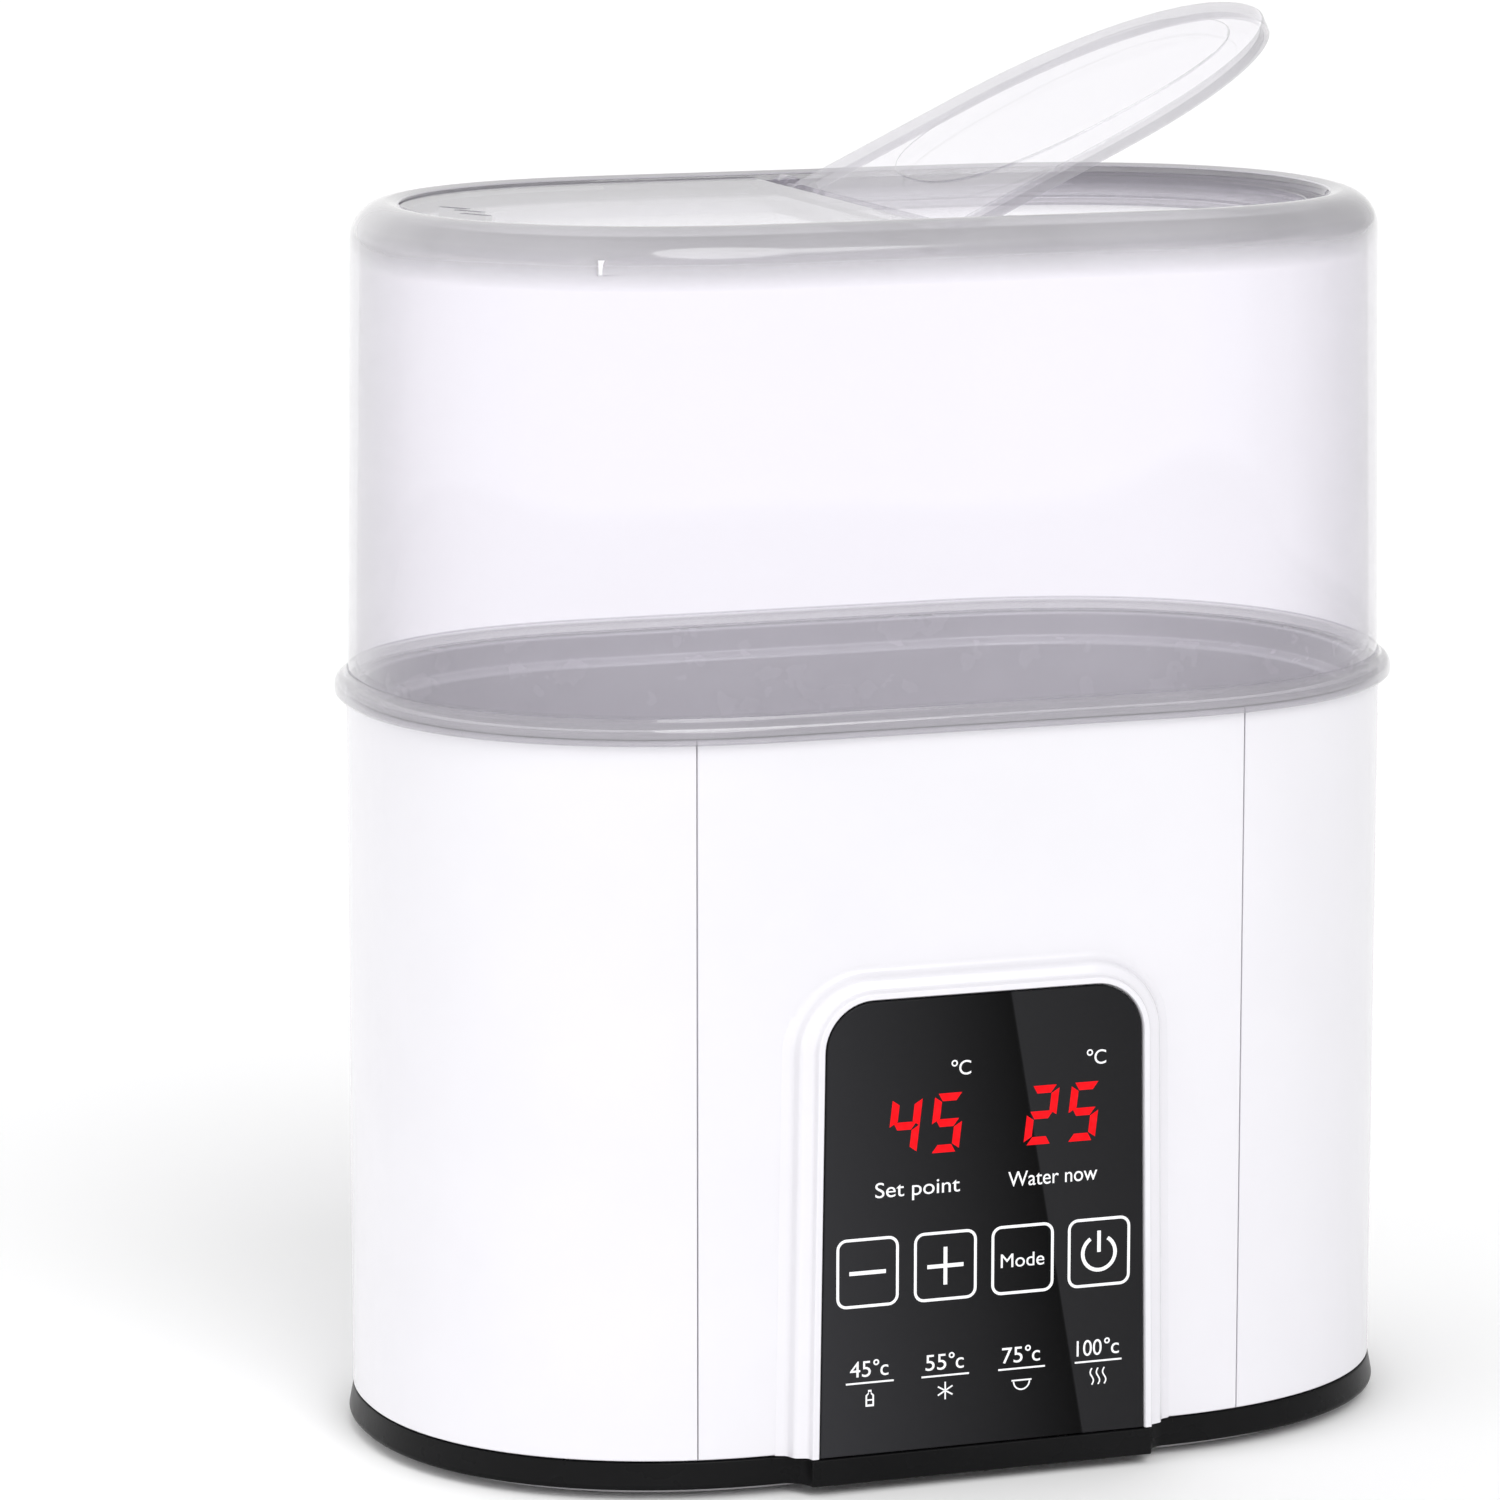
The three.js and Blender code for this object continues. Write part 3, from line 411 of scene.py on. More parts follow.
def clear_plastic(name, density, tones, shade_bands=()):
    """Clear moulded plastic. Its cast deepens from density[0] to density[1] where the wall is seen
    edge on, and so does its gloss. Each (start, full, extra) in the last argument adds painted shade, as
    cast that grows along Z."""
    nodes = Nodes(name)
    edge_on = nodes.add("ShaderNodeLayerWeight")
    edge_on.inputs["Blend"].default_value = 0.5
    clear = nodes.add("ShaderNodeBsdfTransparent")
    clear.inputs["Color"].default_value = (0.984, 0.977, 0.996, 1)
    body = nodes.principled(Roughness=0.15)
    body.inputs["Specular IOR Level"].default_value = 0.2
    tone = nodes.spread(nodes.noise(25), 0, 1)
    first, second = ((grey, grey * 0.98, grey * 1.03) for grey in tones)
    nodes.link(nodes.blend(tone, first, second), body.inputs["Base Color"])
    cast = nodes.spread(nodes.power(edge_on.outputs["Facing"], 2), *density, (0, 1))
    height = nodes.add("ShaderNodeSeparateXYZ")
    nodes.link(nodes.place(), height.inputs["Vector"])
    # Painted shade: the cast grows with height over each band.
    for start, full, extra in shade_bands:
        more = nodes.spread(height.outputs["Z"], 0, extra, (start, full))
        total = nodes.add("ShaderNodeMath", operation="ADD")
        nodes.link(cast, total.inputs[0])
        nodes.link(more, total.inputs[1])
        cast = total.outputs["Value"]
    bulk = nodes.add("ShaderNodeMixShader")
    nodes.link(cast, bulk.inputs["Fac"])
    nodes.link(clear.outputs["BSDF"], bulk.inputs[1])
    nodes.link(body.outputs["BSDF"], bulk.inputs[2])
    gloss = nodes.add("ShaderNodeBsdfGlossy")
    gloss.inputs["Color"].default_value = (1, 1, 1, 1)
    gloss.inputs["Roughness"].default_value = 0.05
    nodes.link(nodes.bump(nodes.noise(14, 2), 0.012), gloss.inputs["Normal"])
    surface = nodes.add("ShaderNodeMixShader")
    shine = nodes.spread(nodes.power(edge_on.outputs["Facing"], 5), 0.03, 0.8, (0, 1))
    nodes.link(shine, surface.inputs["Fac"])
    nodes.link(bulk.outputs["Shader"], surface.inputs[1])
    nodes.link(gloss.outputs["BSDF"], surface.inputs[2])
    nodes.link(surface.outputs["Shader"], nodes.output.inputs["Surface"])
    return nodes.material


def lens_painted_reflection():
    """Smoked lens with a painted reflection: its colour fades to black towards a slanted edge and starts
    again lighter past it.
    """
    nodes = Nodes("lens_painted_reflection")
    shader = nodes.principled()
    shader.inputs["Specular IOR Level"].default_value = 0.06
    place = nodes.add("ShaderNodeSeparateXYZ")
    nodes.link(nodes.place(), place.inputs["Vector"])
    reflection_slant = nodes.add("ShaderNodeMath", operation="MULTIPLY_ADD")
    reflection_slant.inputs[1].default_value = 0.175
    nodes.link(place.outputs["Z"], reflection_slant.inputs[0])
    nodes.link(place.outputs["X"], reflection_slant.inputs[2])
    # Painted reflection: the dark line at the slanted edge and the lighter field past it.
    tone = nodes.add("ShaderNodeValToRGB")
    nodes.link(nodes.spread(reflection_slant.outputs["Value"], 0, 1, (-0.04, 0.06)), tone.inputs["Fac"])
    ramp = tone.color_ramp.elements
    ramp[0].position, ramp[0].color = 0, (0.03, 0.03, 0.033, 1)
    ramp[1].position, ramp[1].color = 1, (0.012, 0.012, 0.013, 1)
    for position, grey in ((0.45, 0.012), (0.652, 0.002), (0.656, 0.018)):
        ramp.new(position).color = (grey, grey, grey * 1.08, 1)
    nodes.link(tone.outputs["Color"], shader.inputs["Base Color"])
    nodes.link(nodes.spread(nodes.noise(20), 0.03, 0.06), shader.inputs["Roughness"])
    nodes.link(shader.outputs["BSDF"], nodes.output.inputs["Surface"])
    return nodes.material


def glowing_red():
    nodes = Nodes("glowing_red")
    shader = nodes.principled(Roughness=0.3)
    shader.inputs["Specular IOR Level"].default_value = 0.0
    shader.inputs["Base Color"].default_value = (0.1, 0.001, 0.002, 1)
    shader.inputs["Emission Strength"].default_value = 1.1
    tone = nodes.spread(nodes.noise(1.2), 0, 1)
    nodes.link(nodes.blend(tone, (0.86, 0.008, 0.012), (1, 0.014, 0.02)), shader.inputs["Emission Color"])
    nodes.link(shader.outputs["BSDF"], nodes.output.inputs["Surface"])
    return nodes.material


WHITE = plastic("gloss_white", (0.695, 0.685, 0.72), (0.71, 0.7, 0.735), (0.16, 0.22), Coat_Weight=0.25)
BLACK_TONES = ((0.005, 0.005, 0.0053), (0.007, 0.007, 0.0074))
BLACK = plastic("satin_black", *BLACK_TONES, (0.24, 0.34), 0.9, 0.02, Specular_IOR_Level=0.07)
PLINTH = plastic("plinth_grey", (0.45, 0.44, 0.46), (0.5, 0.49, 0.51), (0.4, 0.5), 0.8, 0.03)
TANK_GREY = plastic("tank_grey", (0.49, 0.48, 0.505), (0.52, 0.51, 0.535), (0.2, 0.3), 3, 0.004)
RUBBER = plastic("rubber", (0.02, 0.02, 0.021), (0.032, 0.032, 0.033), (0.75, 0.9), 0.5, 0.05)
SILICONE = plastic("silicone", (0.6, 0.58, 0.55), (0.68, 0.66, 0.62), (0.5, 0.65), 0.6, 0.03)
RACK_WHITE = plastic("rack_white", (0.74, 0.73, 0.76), (0.79, 0.78, 0.81), (0.28, 0.38), 1.5, 0.02)
PRINT = plastic("white_print", (0.83, 0.83, 0.85), (0.9, 0.9, 0.92), (0.4, 0.5), 0.5, 0.005)
CIRCUIT = plastic("circuit_board", (0.01, 0.09, 0.035), (0.02, 0.15, 0.055), (0.3, 0.45), 1.2, 0.03, patch=6)
DISPLAY = plastic("display_module", (0.015, 0.015, 0.018), (0.025, 0.025, 0.028), (0.3, 0.4), 0.8, 0.02)
COIL = plastic("winding_tape", (0.5, 0.24, 0.03), (0.62, 0.32, 0.05), (0.4, 0.55), 1, 0.05, patch=8)
RELAY_BLUE = plastic("relay_blue", (0.02, 0.09, 0.3), (0.03, 0.12, 0.38), (0.3, 0.4), 1, 0.02)
SLEEVE_RED = plastic("red_sleeve", (0.32, 0.02, 0.015), (0.4, 0.03, 0.022), (0.5, 0.65), 0.5, 0.03, patch=6)
SLEEVE_BLACK = plastic("black_sleeve", (0.012, 0.012, 0.012), (0.02, 0.02, 0.02), (0.5, 0.65), 0.5, 0.03)
RIBBON = plastic("ribbon", (0.28, 0.28, 0.3), (0.36, 0.36, 0.38), (0.45, 0.6), 1.2, 0.03, patch=4)
STEEL = metal("steel", (0.5, 0.51, 0.53), (0.66, 0.67, 0.69), (0.18, 0.34))
ALUMINIUM = metal("aluminium", (0.62, 0.63, 0.66), (0.76, 0.77, 0.79), (0.25, 0.42), (10, 1, 1))
CLEAR = clear_plastic("clear_plastic", (0.012, 0.06), (0.5, 0.54))
# Heights in metres between which the hood's cast grows, up its rim and down its flange: painted shade for
# the grey of the thick curved plastic there.
RIM_AND_FLANGE_SHADE = ((0.268, 0.277, 0.74), (0.176, 0.1745, 0.28))
# Wall finish, with painted shade up its rim and down its flange.
CLEAR_WALL_SHADED = clear_plastic("clear_wall_shaded", (0.012, 0.4), (0.36, 0.4), RIM_AND_FLANGE_SHADE)
# Edge finish: a denser grey cast painted on as shade.
CLEAR_EDGE_SHADE = clear_plastic("clear_edge_shade", (0.36, 0.5), (0.32, 0.36))
# Smoked lens material, with a painted reflection on it.
LENS_PAINTED_REFLECTION = lens_painted_reflection()
RED = glowing_red()


# ---------------------------------------------------------------- hood
def hood_profile():
    """The hood's wall, its lapping flange, its round rim and the skirt round its recess."""
    flange = eased([
        (-WALL, HOOD_SEAT, 0),
        (0.35, HOOD_SEAT, 0),
        (0.35, 169.9, 0.25),
        (0.9, 169.6, 0.2),
        (1.8, 169.6, 0.4),
        (2.6, 170.4, 0.5),
        (2.6, 172.6, 0.7),
        (1.9, 173.9, 0.5),
        (0.5, 174.5, 0.5),
        (-0.02, 176, 0.8),
    ])
    rim_z = HOOD_TOP - RIM_RADIUS
    rim = arc(RIM_GROW, rim_z, RIM_RADIUS, 0, 90, 14)
    skirt, skirt_low = RECESS + DECK_THICKNESS, LEDGE_Z - DECK_THICKNESS
    step = eased([
        (-12.2, HOOD_TOP, 0.9),
        (-13.3, DECK_Z, 0.7),
        (RECESS, DECK_Z, 0.3),
        (RECESS, skirt_low, 0.4),
        (skirt, skirt_low, 0.4),
        (skirt, DECK_Z - DECK_THICKNESS, 0.5),
    ])
    inner = arc(RIM_GROW, rim_z, RIM_RADIUS - WALL, 90, 0, 10)
    return [*flange, *rim, *step, *inner]


def hood_deck():
    """Raised deck over the left half, then a riser down to a strip and a web by the flap's hinge."""
    deck_end, strip_end = -8.2, -2.2
    strip_top = DECK_Z - 1.5
    strip_low = strip_top - DECK_THICKNESS
    at_rim, inside = -12.5, RECESS + 0.8

    def slab(grow, low, high, x0, x1):
        whole = sweep("slab", [(grow, low), (grow, high)], ring=False)
        return common(whole, block(x0, x1, -90, 90, 200, 300))

    return [
        slab(at_rim, PLATFORM_Z - DECK_THICKNESS, PLATFORM_Z, -200, deck_end),
        slab(inside, strip_low, PLATFORM_Z, deck_end - DECK_THICKNESS, deck_end),
        slab(inside, strip_low, strip_top, deck_end - 0.4, strip_end),
        slab(inside, LEDGE_Z - DECK_THICKNESS, strip_top - 0.5, strip_end - DECK_THICKNESS, strip_end),
    ]


def hood_ledge():
    """Ledge round the right half that the closed flap rests on."""
    low = LEDGE_Z - DECK_THICKNESS
    edge, root = -23, RECESS + 0.8
    profile = eased([(edge, low, 0.4), (root, low, 0), (root, LEDGE_Z, 0), (edge, LEDGE_Z, 0.4)])
    return common(sweep("ledge", profile), block(-3.5, 200, -90, 90, 200, 300))


def hinge_sockets():
    sockets = []
    for y0, y1 in ((52.2, 56.8), (-56.8, -52.2)):
        sockets.append(bar(3.2, 0, HINGE_Z, y0, y1))
        sockets.append(block(-3.2, 3.2, y0, y1, 273.8, HINGE_Z))
    return sockets


def steam_slots():
    slots = []
    for place in (-1, 0, 1):
        slot = upright("slot", rounded_box(-1, 1, -4.5, 4.5, 0.95), DECK_Z - 5, DECK_Z + 5)
        transform(slot, Matrix.Rotation(math.radians(30), 4, "Z"))
        slots.append(move(slot, -94.5 - abs(place), place * 8))
    return slots


def hood():
    whole = join(sweep("hood", hood_profile()), *hood_deck(), hood_ledge(), *hinge_sockets())
    bores = [bar(2, 0, HINGE_Z, 51, 55.2), bar(2, 0, HINGE_Z, -55.2, -51)]
    drain_notch = block(-84, -77, -60, -20, LEDGE_Z - 3, LEDGE_Z + 0.4)
    return cut(whole, *bores, *steam_slots(), drain_notch)


def raised_oval(z):
    """The faint raised panel in the middle of the flap."""
    middle_x, half_length, half_width, power = 52.7, 40.2, 36.7, 0.8
    sides = 96
    loops = []
    for shrink, height in ((0, z - 0.4), (0, z + 0.15), (0.1, z + 0.32), (0.4, z + 0.4)):
        loop = []
        for i in range(sides):
            turn = i / sides * 2 * math.pi
            c, s = math.cos(turn), math.sin(turn)
            x = middle_x + (half_length - shrink) * math.copysign(abs(c) ** power, c)
            y = (half_width - shrink) * math.copysign(abs(s) ** power, s)
            loop.append((x, y, height))
        loops.append(loop)
    return skin("raised", loops)


def flap():
    """The flap, made level with its hinge axis through the origin, then turned open."""
    edge = RECESS - 1
    top = DECK_Z - HINGE_Z
    bottom = top - DECK_THICKNESS
    plate_profile = eased([(edge, bottom, 0), (edge, top, 0.6), (edge - 8, top, 0)], 5)
    plate = common(sweep("plate", plate_profile, ring=False), block(1.2, 200, -90, 90, -50, 50))
    skirt_profile = eased([
        (edge - 1.6, bottom - 2, 0.4),
        (edge, bottom - 2, 0.4),
        (edge, bottom + 0.5, 0),
        (edge - 1.6, bottom + 0.5, 0),
    ])
    skirt = common(sweep("skirt", skirt_profile), block(6, 200, -90, 90, -50, 50))
    hinges = []
    reach = HALF_DEPTH + edge
    for side in (1, -1):
        pin = sorted((side * (reach - 5), side * (reach + 3.4)))
        lug = sorted((side * (reach - 5), side * (reach - 0.2)))
        hinges.append(bar(1.6, 0, 0, *pin))
        hinges.append(block(0, 4, *lug, bottom, top))
    whole = join(plate, skirt, raised_oval(top), *hinges)
    opened = Matrix.Translation((0, 0, HINGE_Z)) @ Matrix.Rotation(-FLAP_OPEN, 4, "Y")
    return transform(whole, opened)


def outside(place, grow):
    """Whether a place on a mesh lies outside the oval grown by `grow`."""
    x, y, _ = place / MM
    along = max(abs(x) - STRAIGHT / 2, 0) / (END_REACH + grow)
    across = abs(y) / (HALF_DEPTH + grow)
    return along**ROUNDNESS + across**ROUNDNESS > 1


def dress_hood(obj):
    """The wall, rim and steam slots get the wall finish, with painted shade up the rim and down the flange,
    and the deck's upright edges get the denser edge finish, which is painted shade.
    """
    for look in (CLEAR_WALL_SHADED, CLEAR_EDGE_SHADE):
        obj.data.materials.append(look)
    for face in obj.data.polygons:
        is_upright = abs(face.normal.z) < 0.5
        in_deck = is_upright and not outside(face.center, RECESS - 1)
        by_slots = face.center.x < -90 * MM
        if outside(face.center, RIM_GROW - 1.8) or (in_deck and by_slots):
            face.material_index = 1
        elif in_deck:
            # Painted shade on the deck's upright edges.
            face.material_index = 2


def dress_flap(obj):
    """The flap's edges get a denser grey cast than its faces, painted on as shade."""
    obj.data.materials.append(CLEAR_EDGE_SHADE)
    upwards = Vector((-math.sin(FLAP_OPEN), 0, math.cos(FLAP_OPEN)))
    for face in obj.data.polygons:
        if abs(face.normal.dot(upwards)) < 0.97:
            face.material_index = 1


dress_hood(finish(hood(), "clear_hood", "hood", CLEAR, "clear_plastic", "hood_shell"))
dress_flap(finish(flap(), "clear_flap", "flap", CLEAR, "clear_plastic", "hood_flap"))


# ---------------------------------------------------------------- casing
def casing_ring():
    return sweep("casing", eased([
        (-WALL, CASING_BOTTOM, 0),
        (0, CASING_BOTTOM, 0.5),
        (0, CASING_TOP, 0.8),
        (-WALL, CASING_TOP, 0.3),
    ]))


def seam_groove(x, side):
    """Widens a seam at the casing's face, so that its edges are eased."""
    y_in, y_out = side * (HALF_DEPTH - 2.3), side * (HALF_DEPTH - 0.8)
    outline = [(x - SEAM_HALF, y_in), (x + SEAM_HALF, y_in), (x + 0.5, y_out), (x - 0.5, y_out)]
    return upright("groove", outline, 0, 200)


def seam_tongue(side, rear):
    """Strip behind a seam, part of a cover, that the end casing laps over."""
    back = -WALL - 1.6
    low, high = CASING_BOTTOM + 7, CASING_TOP - 10
    y0, y1 = (1, 90) if rear else (-90, -1)
    strips = []
    for outer, near, far in ((-WALL + 0.4, 57.7, 64.5), (-WALL - 0.3, 63.7, 70.7)):
        ring = sweep("strip", [(back, low), (outer, low), (outer, high), (back, high)])
        x0, x1 = sorted((side * near, side * far))
        strips.append(common(ring, block(x0, x1, y0, y1, 0, 200)))
    return strips


def end_casing(side):
    x0, x1 = sorted((side * (SEAM_X + SEAM_HALF), side * 200))
    wall = common(casing_ring(), block(x0, x1, -90, 90, 0, 200))
    return cut(wall, seam_groove(side * SEAM_X, -1), seam_groove(side * SEAM_X, 1))


def cover(rear):
    inner = SEAM_X - SEAM_HALF
    y0, y1 = (1, 90) if rear else (-90, -1)
    facing_side = 1 if rear else -1
    wall = common(casing_ring(), block(-inner, inner, y0, y1, 0, 200))
    cut(wall, seam_groove(SEAM_X, facing_side), seam_groove(-SEAM_X, facing_side))
    return join(wall, *seam_tongue(-1, rear), *seam_tongue(1, rear))


def panel_section(spread, y):
    outline = panel_outline(
        PANEL_HALF + spread,
        CASING_BOTTOM,
        PANEL_TOP + 0.8 * spread,
        PANEL_CORNER + spread,
    )
    return y, outline


def panel_surround():
    """The rim round the panel: a raised lip, a shoulder, and a foot that meets the wall."""
    section = eased([
        (-0.6, PANEL_FRONT, 0),
        (0, PANEL_FRONT, 0.3),
        (0.5, -74.4, 0.55),
        (3.4, -73.4, 0.8),
        (4.3, -70.9, 0.9),
        (FLARE, -HALF_DEPTH, 0),
        (FLARE, 1.2 - HALF_DEPTH, 0),
    ], 6)
    return facing("surround", [panel_section(spread, y) for spread, y in section])


def lens_outline(grow, bottom):
    return panel_outline(LENS_HALF + grow, bottom, LENS_TOP + grow, LENS_CORNER + grow)


def front_cover():
    pocket = facing("pocket", [
        (-78, lens_outline(1.6, 0)),
        (PANEL_FRONT, lens_outline(0.6, 0)),
        (PANEL_FRONT + 0.5, lens_outline(0.3, 0)),
        (LENS_BACK + 0.3, lens_outline(0.3, 0)),
    ])
    window = panel_outline(LENS_HALF - 2.5, 14, LENS_TOP - 2.8, LENS_CORNER - 2)
    opening = facing("window", [(-90, window), (-50, window)])
    return cut(join(cover(rear=False), panel_surround()), pocket, opening)


def rear_cover():
    return cut(cover(rear=True), bar(6.4, 0, GLAND_Z, 60, 80))


for side, name in ((-1, "left"), (1, "right")):
    finish(end_casing(side), f"casing_{name}_end", "base_unit", WHITE, "white_plastic", f"{name}_end_casing")
finish(front_cover(), "casing_front", "base_unit", WHITE, "white_plastic", "front_cover")
finish(rear_cover(), "casing_rear", "base_unit", WHITE, "white_plastic", "rear_cover")


# ---------------------------------------------------------------- base
def vent_slots():
    slots = []
    for x in (-24, -12, 0, 12, 24):
        slots.append(upright("vent", rounded_box(x - 1.5, x + 1.5, -16, 10, 1.45), 0, 6))
    return slots


def panel_step():
    """The base's step out under the control panel."""
    half = PANEL_HALF + PANEL_SPLAY
    reach = half + FLARE + 1
    outline = [Vector((-reach, -HALF_DEPTH + 2)), Vector((-reach, -HALF_DEPTH - 0.3))]
    bend = Vector((-half - 0.6, -HALF_DEPTH - 0.6))
    corner = Vector((-half, PANEL_FRONT))
    for i in range(1, 13):
        t = i / 12
        outline.append(outline[1].lerp(bend, t).lerp(bend.lerp(corner, t), t))
    outline += [Vector((-x, y)) for x, y in reversed(outline)]
    return bevel(upright("step", outline, BASE_BOTTOM, BASE_TOP), 0.35, angle=50)


def base():
    shell = sweep("base", eased([
        (-2, BASE_BOTTOM, 0),
        (0.7, BASE_BOTTOM, 0.3),
        (1, BASE_BOTTOM + 0.8, 0.4),
        (0, BASE_TOP, 0.35),
        (-2.6, BASE_TOP, 0),
        (-2.6, 14, 0.4),
        (-4.4, 14, 0.4),
        (-4.4, 4.7, 0),
    ]), ring=False)
    posts = [post(4, x, y, 3.5, 13.7) for x, y in BOARD_POSTS]
    posts += [post(4, x, y, 3.5, 13) for x, y in BASE_SCREWS]
    posts += [post(4.5, x, y, 3.5, 41.7) for x, y in SHIELD_POSTS]
    posts += [post(2, x, y, 41, 45) for x, y in SHIELD_POSTS]
    whole = join(shell, panel_step(), *posts)
    bores = [post(1.7, x, y, 6, 20, 24) for x, y in BOARD_POSTS]
    bores += [post(1.7, x, y, 0, 12, 24) for x, y in BASE_SCREWS]
    return cut(whole, *bores, *vent_slots())


def underside_cover():
    profile = eased([(-6, 0.9, 0), (-3.4, 0.9, 0.3), (-3, 1.5, 0.3), (-3, 2.2, 0)])
    plate = sweep("plate", profile, ring=False)
    holes = [post(7.3, x, y, 0, 4) for x, y in FEET]
    for x, y in BASE_SCREWS:
        holes.append(move(lathe("sink", [(3.3, 0), (3.3, 1.1), (1.7, 2.1), (1.7, 4)]), x, y))
    return cut(plate, *holes, *vent_slots())


def base_screw():
    """Countersunk screw with a cross recess in its head, which faces down."""
    screw = lathe("screw", [(2.8, 1), (2.8, 1.1), (1.3, 2.1), (1.3, 11), (0.9, 11.5)], 32)
    return cut(screw, block(-1.7, 1.7, -0.3, 0.3, 0, 1.7), block(-0.3, 0.3, -1.7, 1.7, 0, 1.7))


def foot():
    return lathe("foot", eased([(5.4, 0, 0), (6.6, 0, 0.3), (7, 0.5, 0.2), (7, 2.2, 0)]))


def cord_gland():
    profile = eased([
        (3.4, 64.5, 0),
        (8, 64.5, 0.4),
        (8, 67.5, 0),
        (6, 67.5, 0),
        (6, 70.3, 0),
        (9, 70.3, 0.2),
        (8.4, 71.9, 0.5),
        (6, 72.3, 0.4),
        (5, 76.1, 0.5),
        (3.4, 76.1, 0.3),
    ])
    return move(turn_to_y(lathe("gland", profile, ring=True)), 0, 0, GLAND_Z)


finish(base(), "base", "base_unit", BLACK, "black_plastic", "base_tray")
finish(underside_cover(), "underside_cover", "base_unit", PLINTH, "grey_plinth", "bottom_cover")
finish(cord_gland(), "cord_inlet", "base_unit", BLACK, "black_plastic", "cord_gland")
for i, (x, y) in enumerate(FEET, 1):
    finish(move(foot(), x, y), f"foot_{i}", "base_unit", RUBBER, "rubber", f"rubber_foot_{i}")
for i, (x, y) in enumerate(BASE_SCREWS, 1):
    finish(move(base_screw(), x, y), f"underside_screw_{i}", "base_unit", STEEL, "steel", f"base_screw_{i}")


# ---------------------------------------------------------------- control panel
PRINT_BACK = LENS_FRONT + 0.02
PRINT_FACE = LENS_FRONT - 0.03


def panel_lens():
    return facing("lens", [
        (LENS_BACK, lens_outline(0, CASING_BOTTOM)),
        (LENS_FRONT + 0.4, lens_outline(0, CASING_BOTTOM)),
        (LENS_FRONT + 0.12, lens_outline(-0.12, CASING_BOTTOM + 0.12)),
        (LENS_FRONT, lens_outline(-0.4, CASING_BOTTOM + 0.4)),
    ])


def decal(outline):
    """A thin printed shape with the outline of (x, z) points."""
    return facing("decal", [(PRINT_BACK, outline), (PRINT_FACE, outline)])


def decal_frame(outer, inner):
    loops = [
        [(x, PRINT_BACK, z) for x, z in outer],
        [(x, PRINT_FACE, z) for x, z in outer],
        [(x, PRINT_FACE, z) for x, z in inner],
        [(x, PRINT_BACK, z) for x, z in inner],
    ]
    return skin("frame", loops, ring=True)


def stroke(points, width):
    """A printed line of constant width with square ends through (x, z) points."""
    sides = ([], [])
    for i, point in enumerate(points):
        ahead = Vector(points[min(i + 1, len(points) - 1)])
        behind = Vector(points[max(i - 1, 0)])
        along = (ahead - behind).normalized()
        normal = Vector((-along.y, along.x)) * width / 2
        sides[0].append(Vector(point) + normal)
        sides[1].append(Vector(point) - normal)
    return decal(sides[0] + sides[1][::-1])


def lettering(text, x0, x1, baseline, height):
    """Text in the built-in font, fitted between x0 and x1, its capitals `height` high."""
    curve = bpy.data.curves.new("lettering", "FONT")
    curve.body = text
    curve.extrude = 1
    source = bpy.data.objects.new("lettering", curve)
    bpy.context.collection.objects.link(source)
    graph = bpy.context.evaluated_depsgraph_get()
    mesh = bpy.data.meshes.new_from_object(source.evaluated_get(graph))
    bpy.data.objects.remove(source)
    across = [v.co.x for v in mesh.vertices]
    capital = 0.729  # height of the font's capitals at size 1
    stretch = (x1 - x0) / (max(across) - min(across))
    left = min(across)
    for vertex in mesh.vertices:
        x, z, depth = vertex.co
        y = PRINT_FACE if depth > 0 else PRINT_BACK
        place = Vector((x0 + (x - left) * stretch, y, baseline + z * height / capital))
        vertex.co = place * MM
    letters = bpy.data.objects.new("lettering", mesh)
    bpy.context.collection.objects.link(letters)
    return letters


def gather(pieces):
    """One object out of several separate ones."""
    made = bmesh.new()
    for piece in pieces:
        made.from_mesh(piece.data)
        bpy.data.objects.remove(piece)
    mesh = bpy.data.meshes.new("gathered")
    made.to_mesh(mesh)
    made.free()
    obj = bpy.data.objects.new("gathered", mesh)
    bpy.context.collection.objects.link(obj)
    return obj


KEY_Z = (42.6, 58.4)
KEYS = {"minus": (-35.1, -20.4), "plus": (-16.8, -1.9), "mode": (1.6, 16.5), "power": (19.9, 34.9)}
PRESETS = [("45", -32.8, -21.5), ("55", -14.9, -3.6), ("75", 3.4, 14.6), ("100", 21.8, 33.1)]


def key_frames():
    frames = []
    low, high = KEY_Z
    line = 0.65
    for x0, x1 in KEYS.values():
        outer = rounded_box(x0, x1, low, high, 2.4)
        inner = rounded_box(x0 + line, x1 - line, low + line, high - line, 2.4 - line)
        frames.append(decal_frame(outer, inner))
    return frames


def key_symbols():
    middle = sum(KEY_Z) / 2
    minus, plus, mode, power = (sum(span) / 2 for span in KEYS.values())
    reach = 4.3
    ring = arc(power, middle - 0.2, 3.9, 122, 418, 40)
    return [
        stroke([(minus - reach, middle), (minus + reach, middle)], 0.9),
        stroke([(plus - reach, middle), (plus + reach, middle)], 0.9),
        stroke([(plus, middle + 0.45), (plus, middle + reach)], 0.9),
        stroke([(plus, middle - reach), (plus, middle - 0.45)], 0.9),
        lettering("Mode", mode - 5.2, mode + 5.2, middle - 1.7, 3.3),
        stroke(ring, 0.85),
        stroke([(power, middle), (power, middle + 4.9)], 0.85),
    ]


def degree_marks():
    marks = []
    for x in (-8.1, 24.1):
        ring = arc(x + 0.7, 96.3, 0.75, 0, 360, 20)[:-1]
        hole = arc(x + 0.7, 96.3, 0.42, 0, 360, 20)[:-1]
        marks.append(decal_frame(ring, hole))
        marks.append(lettering("C", x + 1.8, x + 4.6, 93.6, 3.4))
    return marks


